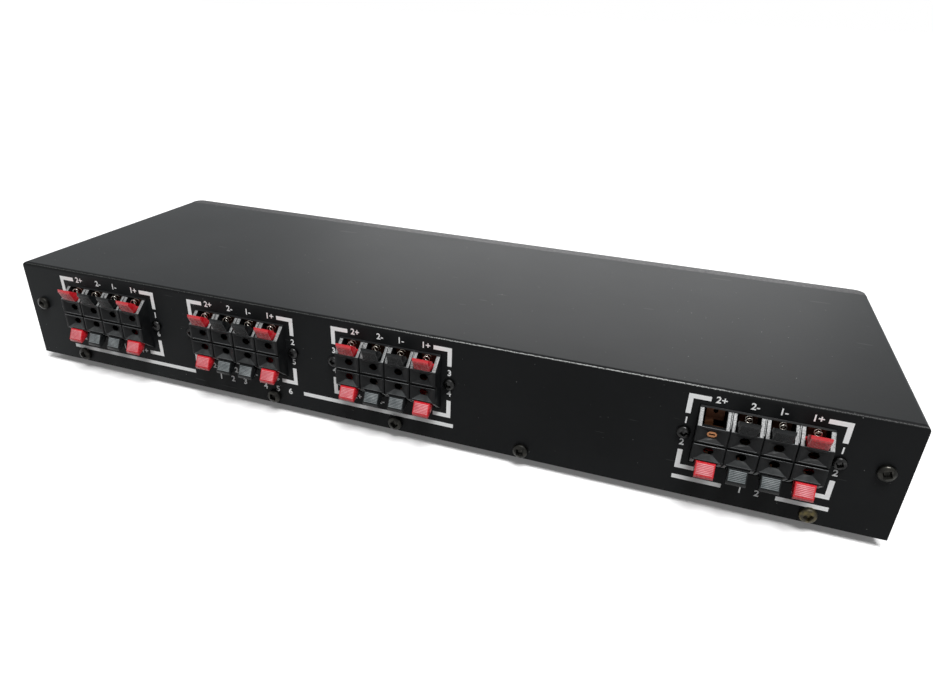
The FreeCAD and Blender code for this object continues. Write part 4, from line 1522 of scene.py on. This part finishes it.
    def text(self, words: str, name: str, x: float, z: float, group: str = "numbers",
             panel: Panel = Panel.REAR, height: float | None = None) -> None:
        """Print a few plain characters.

        Args:
            words: The characters.
            name: Name of the piece.
            x: Their middle along the case.
            z: Their middle height.
            group: The printed piece that they belong to.
            panel: The panel that they are on.
            height: How tall they are, or nothing for the usual height.
        """
        height = height or self.letter_height
        deselect()
        bpy.ops.object.text_add()
        letters = bpy.context.object
        letters.name = name
        letters.data.body = words
        letters.data.align_x = "CENTER"
        letters.data.align_y = "CENTER"
        letters.data.size = height
        letters.data.resolution_u = self.curve_steps
        letters.data.offset = self.letter_swell
        letters.data.extrude = self.ink / 2.0
        take(letters)
        bpy.ops.object.convert(target="MESH")
        grow = height / letters.dimensions.y
        letters.data.transform(Matrix.Diagonal((grow, grow, 1.0, 1.0)))
        upright = Matrix.Rotation(QUARTER_TURN, 4, "X")
        if panel is Panel.FRONT:
            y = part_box("front_panel")[0].y - self.ink / 2.0
            letters.matrix_world = Matrix.Translation((x, y, z)) @ upright
        else:
            turn = Matrix.Rotation(math.pi, 4, "Z") @ upright
            letters.matrix_world = Matrix.Translation((x, self.panel + self.ink / 2.0, z)) @ turn
        settle(letters)
        self.pieces.append((letters, group))


# Studio


@dataclass(frozen=True)
class SoftLamp:
    """A soft square lamp that looks at the object, seen from it in a direction."""

    name: str
    direction: Triple
    distance: float
    size: float
    power: float
    aim: Triple = (0.0, 0.03, 0.04)

    def hang(self) -> None:
        """Hang the lamp."""
        data = bpy.data.lights.new(self.name, "AREA")
        data.shape = "SQUARE"
        data.size = self.size
        data.energy = self.power
        lamp = bpy.data.objects.new(self.name, data)
        bpy.context.scene.collection.objects.link(lamp)
        away = Vector(self.direction).normalized()
        lamp.location = Vector(self.aim) + away * self.distance
        lamp.rotation_mode = "QUATERNION"
        lamp.rotation_quaternion = away.to_track_quat("Z", "Y")


@dataclass
class Studio:
    """The camera, the soft lights and the pale floor."""

    position: Triple = (-0.11874, 0.32206, 0.19005)
    forward: Triple = (0.2756, -0.8474, -0.4538)
    upward: Triple = (0.1755, -0.4198, 0.8905)
    focal: float = 26.376
    sensor: float = 36.0
    nearest: float = 0.01
    farthest: float = 60.0
    lamps: tuple[SoftLamp, ...] = (
        SoftLamp("overhead", (-0.21, 0.37, 0.9), 1.6, 0.65, 36.0),
        SoftLamp("behind", (0.09, -0.8, 0.55), 1.8, 1.6, 20.0),
    )
    world_light: float = 0.15
    world_seen: float = 1.0
    floor_size: float = 24.0

    def build(self) -> None:
        """Set up camera, lights, world and floor."""
        self.camera()
        for lamp in self.lamps:
            lamp.hang()
        self.world()
        self.floor()
        bpy.context.scene.view_settings.view_transform = "Standard"

    def camera(self) -> None:
        """Make the camera at the photograph's viewing angle."""
        data = bpy.data.cameras.new("view")
        data.sensor_width = self.sensor
        data.lens = self.focal
        data.clip_start = self.nearest
        data.clip_end = self.farthest
        camera = bpy.data.objects.new("view", data)
        bpy.context.scene.collection.objects.link(camera)
        back = -Vector(self.forward).normalized()
        across = Vector(self.upward).cross(back).normalized()
        up = back.cross(across)
        turn = Matrix((across, up, back)).transposed().to_4x4()
        camera.matrix_world = Matrix.Translation(self.position) @ turn
        bpy.context.scene.camera = camera

    def world(self) -> None:
        """Make an even world that is white to the eye and dimmer as a light."""
        world = bpy.data.worlds.new("studio")
        world.use_nodes = True
        bpy.context.scene.world = world
        tree = world.node_tree
        background = tree.nodes["Background"]
        background.inputs["Color"].default_value = WHITE
        path = tree.nodes.new("ShaderNodeLightPath")
        seen = path.outputs["Is Camera Ray"]
        for ray in ("Is Transmission Ray", "Is Glossy Ray"):
            larger = tree.nodes.new("ShaderNodeMath")
            larger.operation = "MAXIMUM"
            tree.links.new(seen, larger.inputs[0])
            tree.links.new(path.outputs[ray], larger.inputs[1])
            seen = larger.outputs["Value"]
        strength = tree.nodes.new("ShaderNodeMapRange")
        strength.inputs["To Min"].default_value = self.world_light
        strength.inputs["To Max"].default_value = self.world_seen
        tree.links.new(seen, strength.inputs["Value"])
        tree.links.new(strength.outputs["Result"], background.inputs["Strength"])

    def floor(self) -> None:
        """Lay a pale floor that keeps the object's shadow."""
        deselect()
        bpy.ops.mesh.primitive_plane_add(size=self.floor_size)
        floor = bpy.context.object
        floor.name = "floor"
        floor.data.materials.append(PaleFloor("floor_pale").make())


def main() -> None:
    """Build every sub-assembly in order."""
    logging.basicConfig(level=logging.INFO)
    deselect()
    finishes = Finishes()
    finishes.dress_nodes()
    TerminalBlocks(finishes).build()
    Levers(finishes).build()
    ReturnSprings(finishes).build()
    RearScrews(finishes).build()
    PanelPrint(finishes).build()
    Studio().build()


if __name__ == "__main__":
    main()
